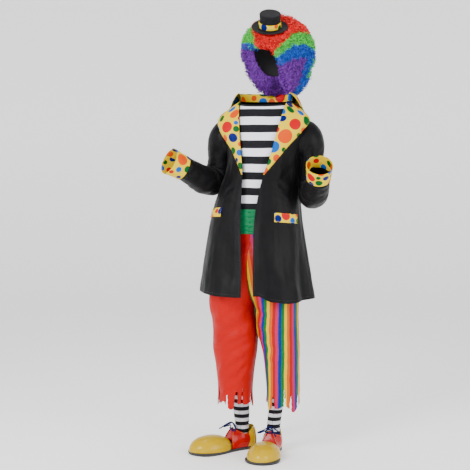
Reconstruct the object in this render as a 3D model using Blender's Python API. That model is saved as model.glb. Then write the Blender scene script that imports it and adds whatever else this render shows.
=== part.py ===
"""Clown costume as it is worn: long open coat, striped shirt front, sash and two-coloured trousers.

Everything is laid out in metres above the floor and hangs from one empty, whose place puts
the row's origin at the wearer's shoulders. The front looks along -Y and +X is the wearer's left.
"""

import math
from collections import namedtuple

import bmesh
import bpy
from mathutils import Matrix, Vector

# Driving sizes
HOLD_HEIGHT = 1.500  # wearer's neck and shoulders, above the floor
COAT_WALL = 0.0016
TRIM_WALL = 0.0018  # dotted lapels, collar, cuffs and flaps
SHIRT_WALL = 0.0014
TROUSER_WALL = 0.0016
SEAM = 0.0003  # between pieces that are sewn to each other
LAY = 0.0009  # under a piece that lies on a panel, so that faceted walls stay clear
SQUARENESS = 2.25  # exponent of a body section; 2 is an ellipse

COAT_HEM = 0.655
COAT_ROWS = 22
COAT_NECK = 1.497
BREAK_HEIGHT = 1.188  # where the lapels start to fold back
LAPEL_LIFT = 0.014  # at the outer corners, which lie over the sleeve heads
SIDE = math.pi / 2
BACK = math.pi

Section = namedtuple("Section", "height half_width half_depth centre_x centre_y")
Edge = namedtuple("Edge", "height right left")
HemPoint = namedtuple("HemPoint", "angle height")
Fold = namedtuple("Fold", "angle width top depth")
LegSection = namedtuple("LegSection", "height centre half_width half_depth centre_y")
Middle = namedtuple("Middle", "height x")
Arm = namedtuple("Arm", "side upper upper_length cuff rim")
HatRing = namedtuple("HatRing", "height radius")
SockRing = namedtuple("SockRing", "height x y radius")
Shoe = namedtuple("Shoe", "heel toe lace_side")
SoleWidth = namedtuple("SoleWidth", "height half_width")

COAT_SECTIONS = [
    Section(0.655, 0.243, 0.188, -0.033, 0.004),
    Section(0.760, 0.229, 0.176, -0.032, 0.004),
    Section(0.880, 0.211, 0.160, -0.029, 0.002),
    Section(0.980, 0.197, 0.149, -0.026, 0.001),
    Section(1.060, 0.184, 0.143, -0.019, 0.000),
    Section(1.140, 0.166, 0.138, -0.008, 0.000),
    Section(1.210, 0.154, 0.136, 0.004, 0.000),
    Section(1.270, 0.154, 0.134, 0.011, 0.000),
    Section(1.330, 0.170, 0.129, 0.013, 0.003),
    Section(1.380, 0.186, 0.121, 0.014, 0.006),
    Section(1.412, 0.187, 0.112, 0.014, 0.009),
    Section(1.438, 0.172, 0.103, 0.014, 0.011),
    Section(1.460, 0.149, 0.095, 0.014, 0.013),
    Section(1.480, 0.127, 0.087, 0.014, 0.014),
    Section(1.497, 0.110, 0.080, 0.014, 0.015),
]

# Height of the coat's hem round the body, from the middle of the front
HEM_LINE = [
    HemPoint(math.radians(-180), 0.680),
    HemPoint(math.radians(-90), 0.700),
    HemPoint(math.radians(-5), 0.690),
    HemPoint(math.radians(12), 0.698),
    HemPoint(math.radians(28), 0.674),
    HemPoint(math.radians(45), 0.667),
    HemPoint(math.radians(90), 0.673),
    HemPoint(math.radians(135), 0.684),
    HemPoint(math.radians(180), 0.680),
    HemPoint(math.radians(270), 0.700),
]

# Where each coat front ends, across from the body's middle line
COAT_EDGES = [
    Edge(0.655, -0.008, 0.044),
    Edge(0.800, -0.012, 0.037),
    Edge(0.950, -0.024, 0.031),
    Edge(1.060, -0.033, 0.031),
    Edge(1.188, -0.049, 0.040),
    Edge(1.290, -0.068, 0.061),
    Edge(1.410, -0.086, 0.086),
    Edge(1.497, -0.100, 0.100),
]

# Flutes of the coat's skirt: where round the body, how wide, how high they reach, how deep
COAT_FOLDS = [
    Fold(math.radians(-112), 0.20, 1.04, 0.015),
    Fold(math.radians(-58), 0.26, 0.96, -0.008),
    Fold(math.radians(-26), 0.18, 0.86, 0.006),
    Fold(math.radians(40), 0.24, 0.92, 0.007),
    Fold(math.radians(74), 0.17, 1.10, -0.014),
    Fold(math.radians(96), 0.15, 1.12, 0.016),
    Fold(math.radians(128), 0.20, 1.02, -0.012),
    Fold(math.radians(158), 0.22, 1.08, 0.013),
    Fold(math.radians(192), 0.20, 1.00, -0.011),
    Fold(math.radians(222), 0.22, 1.06, 0.012),
]

WAIST = Section(0.980, 0.151, 0.113, -0.022, 0.000)  # trousers' top, under the sash
SASH_LOW = 0.948
SASH_HIGH = 1.050
SASH_WAVES = 3
SASH_WAVE_DEPTH = 0.0016
SASH_WALL = 0.0016
SHIRT_BOTTOM = 1.030
SHIRT_HALF_ANGLE = math.radians(74)
TROUSER_TOP = 1.012
CROTCH = 0.640
HEM_HEIGHT = 0.212

# The plane in which the two trouser legs meet
MIDDLE_LINE = [
    Middle(0.200, 0.000),
    Middle(0.450, -0.009),
    Middle(0.540, -0.020),
    Middle(0.640, -0.029),
    Middle(0.760, -0.031),
    Middle(0.900, -0.028),
    Middle(1.012, -0.022),
]
RIGHT_LEG = [
    LegSection(0.205, -0.124, 0.073, 0.080, 0.028),
    LegSection(0.285, -0.123, 0.074, 0.083, 0.026),
    LegSection(0.370, -0.121, 0.083, 0.088, 0.018),
    LegSection(0.450, -0.119, 0.095, 0.095, 0.010),
    LegSection(0.540, -0.117, 0.0965, 0.103, 0.006),
    LegSection(0.640, -0.128, 0.0985, 0.113, 0.003),
    LegSection(0.700, -0.110, 0.116, 0.122, 0.001),
    LegSection(0.780, -0.076, 0.143, 0.129, 0.000),
    LegSection(0.860, -0.046, 0.158, 0.128, 0.000),
    LegSection(0.930, -0.024, 0.152, 0.114, 0.000),
    LegSection(1.012, -0.022, 0.151, 0.113, 0.000),
]
LEFT_LEG = [
    LegSection(0.205, 0.090, 0.069, 0.080, 0.020),
    LegSection(0.285, 0.090, 0.070, 0.082, 0.018),
    LegSection(0.370, 0.087, 0.073, 0.085, 0.012),
    LegSection(0.450, 0.083, 0.078, 0.091, 0.008),
    LegSection(0.540, 0.069, 0.0885, 0.100, 0.004),
    LegSection(0.640, 0.064, 0.0925, 0.111, 0.003),
    LegSection(0.700, 0.044, 0.113, 0.121, 0.001),
    LegSection(0.780, 0.012, 0.142, 0.129, 0.000),
    LegSection(0.860, -0.012, 0.156, 0.128, 0.000),
    LegSection(0.930, -0.022, 0.152, 0.114, 0.000),
    LegSection(1.012, -0.022, 0.151, 0.113, 0.000),
]

ARMPIT_HEIGHT = 1.262
ARMPIT_INSET = 0.008
ARMPIT_BACK = 0.022
SHOULDER_LEAN = math.radians(-10)  # the armhole faces this far above the level
SLEEVE_HIGH_RADIUS = 0.079  # at the armhole, up the arm's plane
SLEEVE_DEEP_RADIUS = 0.070  # at the armhole, front to back
UPPER_ARM_RADIUS = 0.049
ELBOW_RADIUS = 0.058
WRIST_RADIUS = 0.048
CROOK_GAP = 0.064  # from the crook of the elbow to the middle of the sleeve
WRIST_GAP = 0.070
CUFF_DEPTH = 0.070
CUFF_LAP = 0.012  # how far the sleeve goes on under its cuff
CUFF_RADIUS = 0.0535
FAN_STEPS = 5
RIGHT_ARM = Arm(
    -1, Vector((-0.06, 0.10, -1)), 0.036, Vector((-0.62, -0.66, 0.40)), Vector((-0.340, -0.205, 1.249))
)
LEFT_ARM = Arm(
    1, Vector((-0.05, 0.08, -1)), 0.078, Vector((0.20, -0.66, 0.72)), Vector((0.287, -0.190, 1.234))
)


TOWARDS_PHOTO = Vector((0.276, -0.961, 0))  # level direction to where the photo was taken
ACROSS_PHOTO = Vector((0.961, 0.276, 0))

WIG_CENTRE = Vector((0.060, 0.030, 1.698))
WIG_FACING = Vector((-0.545, -0.839, 0))  # the face looks past the wearer's right shoulder
WIG_RADIUS = 0.151
CURL_HEIGHT = 0.006
HEAD_RADII = Vector((0.098, 0.082, 0.108))  # face to nape, side to side, up
HEAD_FORWARD = 0.012
NAPE_DROP = 0.1685  # from the middle of the head down to the lowest curls, inside the collar

HAT_CENTRE = WIG_CENTRE + ACROSS_PHOTO * -0.036 + TOWARDS_PHOTO * 0.085 + Vector((0, 0, 0.096))
HAT_LEAN = math.radians(31)
HAT_PROFILE = [
    HatRing(0.0640, 0.0405),
    HatRing(0.0625, 0.0440),
    HatRing(0.0350, 0.0425),
    HatRing(0.0060, 0.0445),
    HatRing(0.0035, 0.0475),
    HatRing(0.0035, 0.0640),
    HatRing(0.0065, 0.0725),
    HatRing(0.0045, 0.0742),
    HatRing(0.0010, 0.0650),
    HatRing(0.0005, 0.0450),
    HatRing(0.0030, 0.0415),
    HatRing(0.0350, 0.0398),
    HatRing(0.0600, 0.0410),
    HatRing(0.0612, 0.0380),
]

SOCK_WALL = 0.0014
RIGHT_SOCK = [
    SockRing(0.0138, -0.105, 0.074, 0.0230),
    SockRing(0.0500, -0.105, 0.074, 0.0255),
    SockRing(0.1000, -0.106, 0.073, 0.0290),
    SockRing(0.1600, -0.108, 0.069, 0.0345),
    SockRing(0.2200, -0.109, 0.065, 0.0350),
    SockRing(0.3000, -0.110, 0.0655, 0.0370),
]
LEFT_SOCK = [
    SockRing(0.0138, 0.036, 0.060, 0.0230),
    SockRing(0.0500, 0.036, 0.059, 0.0250),
    SockRing(0.1000, 0.038, 0.056, 0.0280),
    SockRing(0.1600, 0.0465, 0.046, 0.0295),
    SockRing(0.2200, 0.0575, 0.0368, 0.0289),
    SockRing(0.3000, 0.0600, 0.032, 0.0300),
]

SOLE_THICKNESS = 0.013
SHOE_WALL = 0.0020
TOE_CAP_START = 0.135
TOE_HEIGHT = 0.060
UPPER_FRONT = 0.1335
HEEL_HEIGHT = 0.100
INSTEP_HEIGHT = 0.090
LACE_RADIUS = 0.0020
# Half width of the sole along the shoe; the column called height is the distance from the heel
SOLE_WIDTHS = [
    SoleWidth(0.000, 0.033),
    SoleWidth(0.050, 0.036),
    SoleWidth(0.100, 0.040),
    SoleWidth(0.140, 0.050),
    SoleWidth(0.190, 0.066),
    SoleWidth(0.235, 0.073),
    SoleWidth(0.285, 0.071),
    SoleWidth(0.320, 0.064),
]
RIGHT_SHOE = Shoe(Vector((-0.060, 0.117, 0)), Vector((-0.290, -0.101, 0)), -1)
LEFT_SHOE = Shoe(Vector((0.034, 0.120, 0)), Vector((0.036, -0.194, 0)), 1)


# Tables and sections


def smooth_column(table, column, height):
    """A column of a table at any height, on a cubic curve through its rows."""
    last = len(table) - 1
    k = 0
    while k < last - 1 and height > table[k + 1].height:
        k += 1
    low, high = table[k], table[k + 1]
    span = high.height - low.height
    t = max(-0.2, min(1.2, (height - low.height) / span))
    a, b = getattr(low, column), getattr(high, column)
    slope = (b - a) / span

    def tangent(row):
        if row == 0 or row == last:
            return slope
        before, after = table[row - 1], table[row + 1]
        return (getattr(after, column) - getattr(before, column)) / (after.height - before.height)

    m0, m1 = tangent(k) * span, tangent(k + 1) * span
    return (
        (2 * t**3 - 3 * t**2 + 1) * a
        + (t**3 - 2 * t**2 + t) * m0
        + (3 * t**2 - 2 * t**3) * b
        + (t**3 - t**2) * m1
    )


def section_at(table, height):
    return Section(
        height,
        smooth_column(table, "half_width", height),
        smooth_column(table, "half_depth", height),
        smooth_column(table, "centre_x", height),
        smooth_column(table, "centre_y", height),
    )


def signed_power(value, power):
    return math.copysign(abs(value) ** power, value)


def section_point(section, angle, squareness=SQUARENESS):
    """A point on a body section. Angle 0 is the front, a quarter turn is the wearer's left."""
    power = 2 / squareness
    return Vector(
        (
            section.centre_x + section.half_width * signed_power(math.sin(angle), power),
            section.centre_y - section.half_depth * signed_power(math.cos(angle), power),
            section.height,
        )
    )


def angle_across(section, across):
    """The angle at which a section's front half lies this far across from its middle."""
    share = max(-0.999, min(0.999, across / section.half_width))
    return math.asin(signed_power(share, SQUARENESS / 2))


def ease(t):
    t = max(0.0, min(1.0, t))
    return t * t * (3 - 2 * t)


def blend(a, b, t):
    return a + (b - a) * t


def normal_of(surface, u, v, step=0.004):
    across = surface(u + step, v) - surface(u - step, v)
    along = surface(u, v + step) - surface(u, v - step)
    return across.cross(along).normalized()


# Making solids


def material(name, colour, roughness):
    made = bpy.data.materials.new(name)
    made.use_nodes = True
    shader = made.node_tree.nodes["Principled BSDF"]
    shader.inputs["Base Color"].default_value = (*colour, 1)
    shader.inputs["Roughness"].default_value = roughness
    shader.inputs["Metallic"].default_value = 0.0
    made.diffuse_color = (*colour, 1)
    return made


def add_object(name, mesh, paint, folder, parent):
    obj = bpy.data.objects.new(name, mesh)
    folder.objects.link(obj)
    obj.parent = parent
    if paint:
        mesh.materials.append(paint)
        mesh.shade_smooth()
        mesh.set_sharp_from_angle(angle=math.radians(50))
    return obj


def cloth_wall(surface, wall, across, along, closed=False):
    """A grid bent to surface(u, v) and thickened inwards into one closed wall.

    u runs across and v along, both from 0 to 1; closed joins u = 0 to u = 1 as a tube.
    """
    bm = bmesh.new()
    place = bm.verts.layers.float_vector.new("place")
    bmesh.ops.create_grid(bm, x_segments=across, y_segments=along, size=0.5)
    for vert in bm.verts:
        vert[place] = (vert.co.x + 0.5, vert.co.y + 0.5, 0)
        vert.co = surface(vert[place].x, vert[place].y)
    if closed:
        bmesh.ops.remove_doubles(bm, verts=bm.verts, dist=1e-6)
    outer = list(bm.faces)
    made = bmesh.ops.extrude_face_region(bm, geom=outer, use_keep_orig=True)
    for item in made["geom"]:
        if isinstance(item, bmesh.types.BMVert):
            u, v = item[place].x, item[place].y
            item.co = surface(u, v) - normal_of(surface, u, v) * wall
    bmesh.ops.recalc_face_normals(bm, faces=bm.faces)
    bm.verts.layers.float_vector.remove(place)
    mesh = bpy.data.meshes.new("wall")
    bm.to_mesh(mesh)
    bm.free()
    return mesh


def plug(rings):
    """A solid through closed rings of equally many points, capped at both ends."""
    bm = bmesh.new()
    loops = [[bm.verts.new(point) for point in ring] for ring in rings]
    count = len(loops[0])
    for low, high in zip(loops, loops[1:]):
        for k in range(count):
            bm.faces.new((low[k], low[(k + 1) % count], high[(k + 1) % count], high[k]))
    bm.faces.new(list(reversed(loops[0])))
    bm.faces.new(loops[-1])
    bmesh.ops.recalc_face_normals(bm, faces=bm.faces)
    mesh = bpy.data.meshes.new("plug")
    bm.to_mesh(mesh)
    bm.free()
    return mesh


def cut(obj, cutter):
    modifier = obj.modifiers.new("cut", "BOOLEAN")
    modifier.operation = "DIFFERENCE"
    modifier.object = cutter


def ring_band(rings):
    """A solid through closed rings that come back to the first, such as a flat hoop."""
    bm = bmesh.new()
    loops = [[bm.verts.new(point) for point in ring] for ring in rings]
    count = len(loops[0])
    for k in range(len(loops)):
        low, high = loops[k], loops[(k + 1) % len(loops)]
        for m in range(count):
            bm.faces.new((low[m], low[(m + 1) % count], high[(m + 1) % count], high[m]))
    bmesh.ops.recalc_face_normals(bm, faces=bm.faces)
    mesh = bpy.data.meshes.new("hoop")
    bm.to_mesh(mesh)
    bm.free()
    return mesh


# Coat


def coat_fold(height, angle):
    """How far the skirt's flutes stand out of the plain section."""
    total = 0.0
    for fold in COAT_FOLDS:
        turn = (angle - fold.angle + math.pi) % (2 * math.pi) - math.pi
        drop = ease((fold.top - height) / (fold.top - COAT_HEM))
        total += fold.depth * drop * math.exp(-((turn / fold.width) ** 2))
    return total


def coat_skin(height, angle):
    section = section_at(COAT_SECTIONS, height)
    point = section_point(section, angle)
    away = Vector((math.sin(angle), -math.cos(angle), 0))
    return point + away * coat_fold(height, angle)


def coat_point(height, angle, out=0.0):
    """A point on the coat's outer face, moved out by some distance along its normal."""
    if not out:
        return coat_skin(height, angle)
    return coat_skin(height, angle) + out * normal_of(
        lambda u, v: coat_skin(height + v, angle + u), 0, 0
    )


def hem_height(angle):
    """The hem line at any angle, between the listed points."""
    for low, high in zip(HEM_LINE, HEM_LINE[1:]):
        if angle <= high.angle:
            return blend(low.height, high.height, ease((angle - low.angle) / (high.angle - low.angle)))
    return HEM_LINE[-1].height


def coat_height(v, angle):
    """Rows of the coat: wide in the skirt, closer over the waist, chest and shoulders."""
    knee = 8 / COAT_ROWS
    if v < knee:
        return blend(hem_height(angle), 1.10, v / knee)
    return blend(1.10, COAT_NECK, (v - knee) / (1 - knee))


def edge_angle(side, height):
    column = "left" if side > 0 else "right"
    across = smooth_column(COAT_EDGES, column, height)
    return angle_across(section_at(COAT_SECTIONS, height), across)


def coat_front(side):
    """A coat front from its opening edge to the side and shoulder seam."""

    def surface(u, v):
        hem_edge = edge_angle(side, COAT_HEM)
        hem_span = (hem_edge, SIDE) if side > 0 else (-SIDE, hem_edge)
        height = coat_height(v, blend(*hem_span, u))
        inner = edge_angle(side, height)
        seam = side * SIDE - side * SEAM / 2 / section_at(COAT_SECTIONS, height).half_depth
        start, end = (inner, seam) if side > 0 else (seam, inner)
        return coat_skin(height, blend(start, end, u))

    return surface


def coat_back(u, v):
    height = coat_height(v, blend(SIDE, 3 * SIDE, u))
    step = SEAM / 2 / section_at(COAT_SECTIONS, height).half_depth
    return coat_skin(height, blend(SIDE + step, 3 * SIDE - step, u))


def lapel(side):
    """A lapel from the roll line to its outer edge, moved out from the coat front below it."""
    corner_share = 0.80
    corner_height, corner_across = 1.402, 0.182
    shoulder_height, shoulder_angle = 1.449, math.radians(83)
    corner_angle = angle_across(section_at(COAT_SECTIONS, corner_height), corner_across)
    break_across = abs(smooth_column(COAT_EDGES, "left" if side > 0 else "right", BREAK_HEIGHT))

    def outer_edge(v):
        if v > corner_share:
            t = (v - corner_share) / (1 - corner_share)
            return blend(corner_height, shoulder_height, t), blend(corner_angle, shoulder_angle, t)
        t = v / corner_share
        height = blend(BREAK_HEIGHT, corner_height, t)
        across = blend(break_across, corner_across, t)
        return height, angle_across(section_at(COAT_SECTIONS, height), across)

    def surface(u, v):
        v = blend(0.02, 1, v)
        across = u if side > 0 else 1 - u
        roll_height = blend(BREAK_HEIGHT, COAT_NECK - 0.004, v)
        roll = abs(edge_angle(side, roll_height))
        edge_height, edge = outer_edge(v)
        height = blend(roll_height, edge_height, across)
        angle = blend(roll, edge, across)
        lift = LAY + TRIM_WALL + 0.003 * math.sin(math.pi * across) + 0.0008 * ease((v - 0.7) / 0.3)
        over_sleeve = ease((v - 0.35) / 0.35) * (1 - 0.7 * ease((v - 0.85) / 0.15))
        lift += LAPEL_LIFT * ease(across * 1.2) * over_sleeve
        return coat_point(height, side * angle, lift)

    return surface


def collar(u, v):
    """Collar round the back of the neck: a stand on the neck seam that rolls over and falls."""
    front = math.radians(blend(68, 86, ease((v - 0.5) / 0.5)))
    angle = blend(front, 2 * math.pi - front, u)
    rear = 0.5 - 0.5 * math.cos(2 * (max(SIDE, min(3 * SIDE, angle)) - SIDE))
    away = Vector((math.sin(angle), -math.cos(angle), 0))
    base = coat_skin(COAT_NECK, angle) + Vector((0, 0, SEAM + 0.0001))
    hem = coat_point(blend(1.450, 1.420, rear), angle, LAY + 0.0004)
    crown = base + Vector((0, 0, 0.032)) + away * 0.008
    shoulder = blend(crown, hem, 0.34) + away * 0.004 + Vector((0, 0, 0.003))
    knots = [base, base + Vector((0, 0, 0.020)) + away * 0.001, crown, shoulder, hem]
    return spline_point(knots, v)


def spline_point(knots, t):
    """A point at share t of a smooth curve through the knots."""
    last = len(knots) - 1
    place = t * last
    k = max(0, min(last - 1, int(place)))
    t = place - k
    p1, p2 = knots[k], knots[k + 1]
    p0 = knots[k - 1] if k > 0 else p1 * 2 - p2
    p3 = knots[k + 2] if k + 2 <= last else p2 * 2 - p1
    return 0.5 * (
        p1 * 2 + (p2 - p0) * t + (p0 * 2 - p1 * 5 + p2 * 4 - p3) * t**2 + (p1 * 3 - p0 - p2 * 3 + p3) * t**3
    )


def pocket_flap(side):
    """A flap on the coat front, moved out from it."""
    angles = (math.radians(32), math.radians(74)) if side > 0 else (math.radians(37), math.radians(81))
    top = 1.034 if side > 0 else 1.052
    drop = 0.038

    def surface(u, v):
        across = u if side > 0 else 1 - u
        angle = side * blend(angles[0], angles[1], across)
        height = top - drop * (1 - v) - 0.010 * (across - 0.5)
        lift = LAY + TRIM_WALL + 0.0015 * (1 - v)
        return coat_point(height, angle, lift)

    return surface


# Sleeves


def turned(frame, new_heading, gap, steps):
    """Frames round a bend: (centre, heading, up, deep) swung about a pivot on the inside."""
    centre, heading, up, deep = frame
    axis = heading.cross(new_heading).normalized()
    angle = heading.angle(new_heading)
    pivot = centre + axis.cross(heading) * gap
    frames = []
    for k in range(1, steps + 1):
        turn = Matrix.Rotation(angle * k / steps, 3, axis)
        frames.append((pivot + turn @ (centre - pivot), turn @ heading, turn @ up, turn @ deep))
    return frames


def forearm_line(arm, upper_end):
    """Heading and ends of the forearm between the elbow's bend and the wrist's."""
    upper, cuff = arm.upper.normalized(), arm.cuff.normalized()
    cuff_start = arm.rim - cuff * CUFF_DEPTH
    fore = (cuff_start - upper_end).normalized()
    for _ in range(60):
        elbow_end = upper_end + (upper + fore) * CROOK_GAP * math.tan(upper.angle(fore) / 2)
        wrist_start = cuff_start - (fore + cuff) * WRIST_GAP * math.tan(fore.angle(cuff) / 2)
        fore = (fore * 2 + (wrist_start - elbow_end).normalized()).normalized()
    return fore, elbow_end, wrist_start


def arm_rings(arm, shrink=0.0):
    """Rings down a sleeve: from inside the shoulder, fanned round the armpit, to under the cuff.

    Each ring is (centre, up, deep, up radius, deep radius).
    """
    section = section_at(COAT_SECTIONS, ARMPIT_HEIGHT)
    armpit_x = section.centre_x + arm.side * (section.half_width - ARMPIT_INSET)
    armpit = Vector((armpit_x, ARMPIT_BACK, ARMPIT_HEIGHT))
    heading = Vector((arm.side * math.cos(SHOULDER_LEAN), 0, math.sin(SHOULDER_LEAN)))
    upper = arm.upper.normalized()
    fan_axis = heading.cross(upper).normalized()
    up = fan_axis.cross(heading) * -1
    deep = fan_axis
    gap = 0.004
    rings = []

    def add(frame, up_radius, deep_radius):
        rings.append((frame[0], frame[2], frame[3], up_radius - shrink, deep_radius - shrink))

    first = armpit + up * (SLEEVE_HIGH_RADIUS + gap)
    add((first - heading * 0.05, heading, up, deep), SLEEVE_HIGH_RADIUS, SLEEVE_DEEP_RADIUS)
    for k in range(FAN_STEPS + 1):
        share = k / FAN_STEPS
        turn = Matrix.Rotation(heading.angle(upper) * share, 3, fan_axis)
        high = blend(SLEEVE_HIGH_RADIUS, UPPER_ARM_RADIUS, ease(share))
        wide = blend(SLEEVE_DEEP_RADIUS, UPPER_ARM_RADIUS + 0.008, ease(share))
        frame = (armpit + turn @ up * (high + gap), turn @ heading, turn @ up, deep)
        add(frame, high, wide)
    start = frame[0]
    upper_end = start + upper * arm.upper_length
    for share in (0.5, 1.0):
        frame = (blend(start, upper_end, share), upper, frame[2], deep)
        radius = blend(UPPER_ARM_RADIUS, ELBOW_RADIUS - 0.003, share)
        add(frame, radius, radius + 0.008 * (1 - share))
    fore, elbow_end, wrist_start = forearm_line(arm, upper_end)
    for frame in turned(frame, fore, CROOK_GAP, 5):
        add(frame, ELBOW_RADIUS, ELBOW_RADIUS)
    for share in (0.34, 0.67, 1.0):
        radius = blend(ELBOW_RADIUS, WRIST_RADIUS, share)
        frame = (blend(elbow_end, wrist_start, share), fore, frame[2], frame[3])
        add(frame, radius, radius)
    for frame in turned(frame, arm.cuff.normalized(), WRIST_GAP, 2):
        add(frame, WRIST_RADIUS, WRIST_RADIUS)
    frame = (frame[0] + frame[1] * CUFF_LAP, *frame[1:])
    add(frame, WRIST_RADIUS, WRIST_RADIUS)
    return rings


def ring_point(ring, angle):
    centre, up, deep, up_radius, deep_radius = ring
    return centre + up * up_radius * math.cos(angle) + deep * deep_radius * math.sin(angle)


def clear_of_coat(point, clearance):
    """Pushes a point level outwards until it is this far off the coat's skin."""
    section = section_at(COAT_SECTIONS, point.z)
    x, y = point.x - section.centre_x, point.y - section.centre_y
    angle = math.atan2(x / section.half_width, -y / section.half_depth)
    skin = coat_skin(point.z, angle)
    reach = math.hypot(skin.x - section.centre_x, skin.y - section.centre_y) + clearance
    held = math.hypot(x, y)
    if held >= reach or held < 1e-6:
        return point
    return Vector(
        (section.centre_x + x * reach / held, section.centre_y + y * reach / held, point.z)
    )


def sleeve(arm):
    rings = arm_rings(arm)
    last = len(rings) - 1
    free_from = FAN_STEPS + 2  # rings after the armhole fan keep clear of the coat

    def surface(u, v):
        place = max(0.0, min(last - 1e-6, v * last))
        k = int(place)
        angle = -arm.side * 2 * math.pi * u
        point = blend(ring_point(rings[k], angle), ring_point(rings[k + 1], angle), place - k)
        if v * last > last:
            point += (v * last - last) * (rings[-1][0] - rings[-2][0])
        if v * last < 0:
            point += v * last * (rings[1][0] - rings[0][0])
        weight = ease((place - free_from + 0.5) / 1.0)
        if weight > 0:
            point = blend(point, clear_of_coat(point, 0.0045), weight)
        return point

    return surface, last


def armhole_rings(arm):
    """The sleeve's hollow where it passes through the coat, from inside the body to below the armpit."""
    steps = 24
    return [
        [ring_point(ring, 2 * math.pi * k / steps) for k in range(steps)]
        for ring in arm_rings(arm, COAT_WALL)[: FAN_STEPS + 2]
    ]


def cuff(arm):
    """A turned cuff over the sleeve's end."""
    direction = arm.cuff.normalized()
    end_ring = arm_rings(arm)[-1]
    up, deep = end_ring[1], end_ring[2]
    start = arm.rim - direction * CUFF_DEPTH

    def surface(u, v):
        angle = -arm.side * 2 * math.pi * u
        centre = start + direction * CUFF_DEPTH * v
        radius = blend(WRIST_RADIUS + TRIM_WALL + 0.0005, CUFF_RADIUS, ease((v - 0.2) * 1.6))
        return centre + (up * math.cos(angle) + deep * math.sin(angle)) * radius

    return surface


def body_plug(out):
    """The coat's whole outer form as a solid, a little larger than the coat."""
    steps = 72
    rows = 36
    rings = []
    for row in range(rows + 1):
        height = blend(1.02, COAT_NECK, row / rows)
        rings.append([coat_point(height, 2 * math.pi * k / steps, out) for k in range(steps)])
    return plug(rings)


# Shirt and sash


def waist_point(height, angle, out):
    section = WAIST._replace(
        height=height,
        half_width=WAIST.half_width + out,
        half_depth=WAIST.half_depth + out,
    )
    return section_point(section, angle, 2.1)


def shirt_point(height, angle):
    """Shirt front: just under the coat at the shoulders, in to the waist under the sash."""
    inset = COAT_WALL + LAY + 0.0010 + 0.009 * ease((1.47 - height) / 0.10)
    inset += 0.0012 * ease((height - 1.45) / 0.03)
    high = coat_point(height, angle, -inset)
    section = section_at(COAT_SECTIONS, height)
    low = waist_point(height, angle, -0.008 * ease((height - 1.06) / 0.08))
    low.x += (section.centre_x - WAIST.centre_x) * ease((height - 1.065) / 0.06)
    return blend(high, low, ease((1.33 - height) / 0.25))


def shirt_top(angle):
    return 1.4745 + 0.0185 * (1 - math.cos(angle))


def shirt_front(u, v):
    angle = blend(-SHIRT_HALF_ANGLE, SHIRT_HALF_ANGLE, u)
    return shirt_point(blend(SHIRT_BOTTOM, shirt_top(angle), v), angle)


def neckband(u, v):
    angle = blend(-SHIRT_HALF_ANGLE, SHIRT_HALF_ANGLE, u)
    low = shirt_top(angle) + SEAM
    return shirt_point(low + 0.0070 * v, angle)


def sash(u, v):
    height = blend(SASH_LOW, SASH_HIGH, v)
    wave = SASH_WAVE_DEPTH * (1 - math.cos(2 * math.pi * SASH_WAVES * v)) / 2
    return waist_point(height, 2 * math.pi * u, LAY + SASH_WALL + wave)


# Trousers


def leg_point(side, height, share):
    """A point round one trouser half; share runs 0 to 1 from the inseam round the front to the back.

    Below the crotch the half is a leg tube; above it the section opens at the middle plane.
    """
    table = LEFT_LEG if side > 0 else RIGHT_LEG
    centre = smooth_column(table, "centre", height)
    half_width = smooth_column(table, "half_width", height)
    half_depth = smooth_column(table, "half_depth", height)
    centre_y = smooth_column(table, "centre_y", height)
    middle = smooth_column(MIDDLE_LINE, "x", height) + side * SEAM / 2
    reach = side * (centre - middle) / half_width
    start = math.acos(max(-0.3, reach)) if reach < 1 else 0.0
    angle = blend(start, 2 * math.pi - start, share)
    x = centre - side * half_width * math.cos(angle)
    y = centre_y - half_depth * math.sin(angle)
    leg = Vector((x, y, height))
    waist = waist_point(height, side * math.pi * share, 0.0)
    waist.x += side * SEAM / 2 * math.cos(math.pi * share) ** 2
    return blend(leg, waist, ease((height - 0.86) / 0.05))


def leg_panel(side, front):
    """Front or back panel of one trouser leg, from hem to waist."""

    def surface(u, v):
        height = blend(HEM_HEIGHT, TROUSER_TOP, v)
        trim = SEAM / 2 / 0.55
        start, end = (trim, 0.5 - trim) if front else (0.5 + trim, 1 - trim)
        # The left half's share grows with the wearer's left angle, the right half's against it.
        along = u if side > 0 else 1 - u
        share = blend(start, end, along)
        turns = 2 * math.pi * share
        ragged = 0.010 * math.sin(4 * turns + side) + 0.007 * math.sin(7 * turns)
        height += ragged * (1 - ease(v * 6))
        return leg_point(side, height, share)

    return surface


def rip_cutter(side):
    """Wedges that slit the hem into strips."""
    bm = bmesh.new()
    rips = 12
    for k in range(rips):
        share = (k + 0.5 + 0.22 * math.sin(2.3 * k + side)) / rips
        low = leg_point(side, HEM_HEIGHT - 0.03, share)
        centre = leg_point(side, HEM_HEIGHT, 0.0) * 0.5 + leg_point(side, HEM_HEIGHT, 0.5) * 0.5
        away = Vector((low.x - centre.x, low.y - centre.y, 0)).normalized()
        along = Vector((-away.y, away.x, 0))
        depth = 0.068 + 0.022 * math.sin(4.1 * k + 2 * side)
        width = 0.0075 + 0.0035 * math.sin(3.7 * k + 1)
        wedge = bmesh.ops.create_cube(bm, size=1)
        for vert in wedge["verts"]:
            top = vert.co.z > 0
            half = width * (0.35 if top else 1.0)
            height = HEM_HEIGHT + (depth if top else -0.04)
            radius = 0.120 if vert.co.x > 0 else 0.050
            slant = 0.006 * math.sin(5.3 * k) if top else 0.0
            vert.co = (
                Vector((centre.x, centre.y, height))
                + away * radius
                + along * (math.copysign(half, vert.co.y) + slant)
            )
    mesh = bpy.data.meshes.new("rips")
    bmesh.ops.recalc_face_normals(bm, faces=bm.faces)
    bm.to_mesh(mesh)
    bm.free()
    return mesh


# Wig and hat


def hair_edge(turn):
    """Polar angle of the hairline, round from the middle of the face."""
    away = abs((turn + math.pi) % (2 * math.pi) - math.pi)
    return math.radians(blend(80, 159, ease((math.degrees(away) - 30) / 60)))


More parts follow.
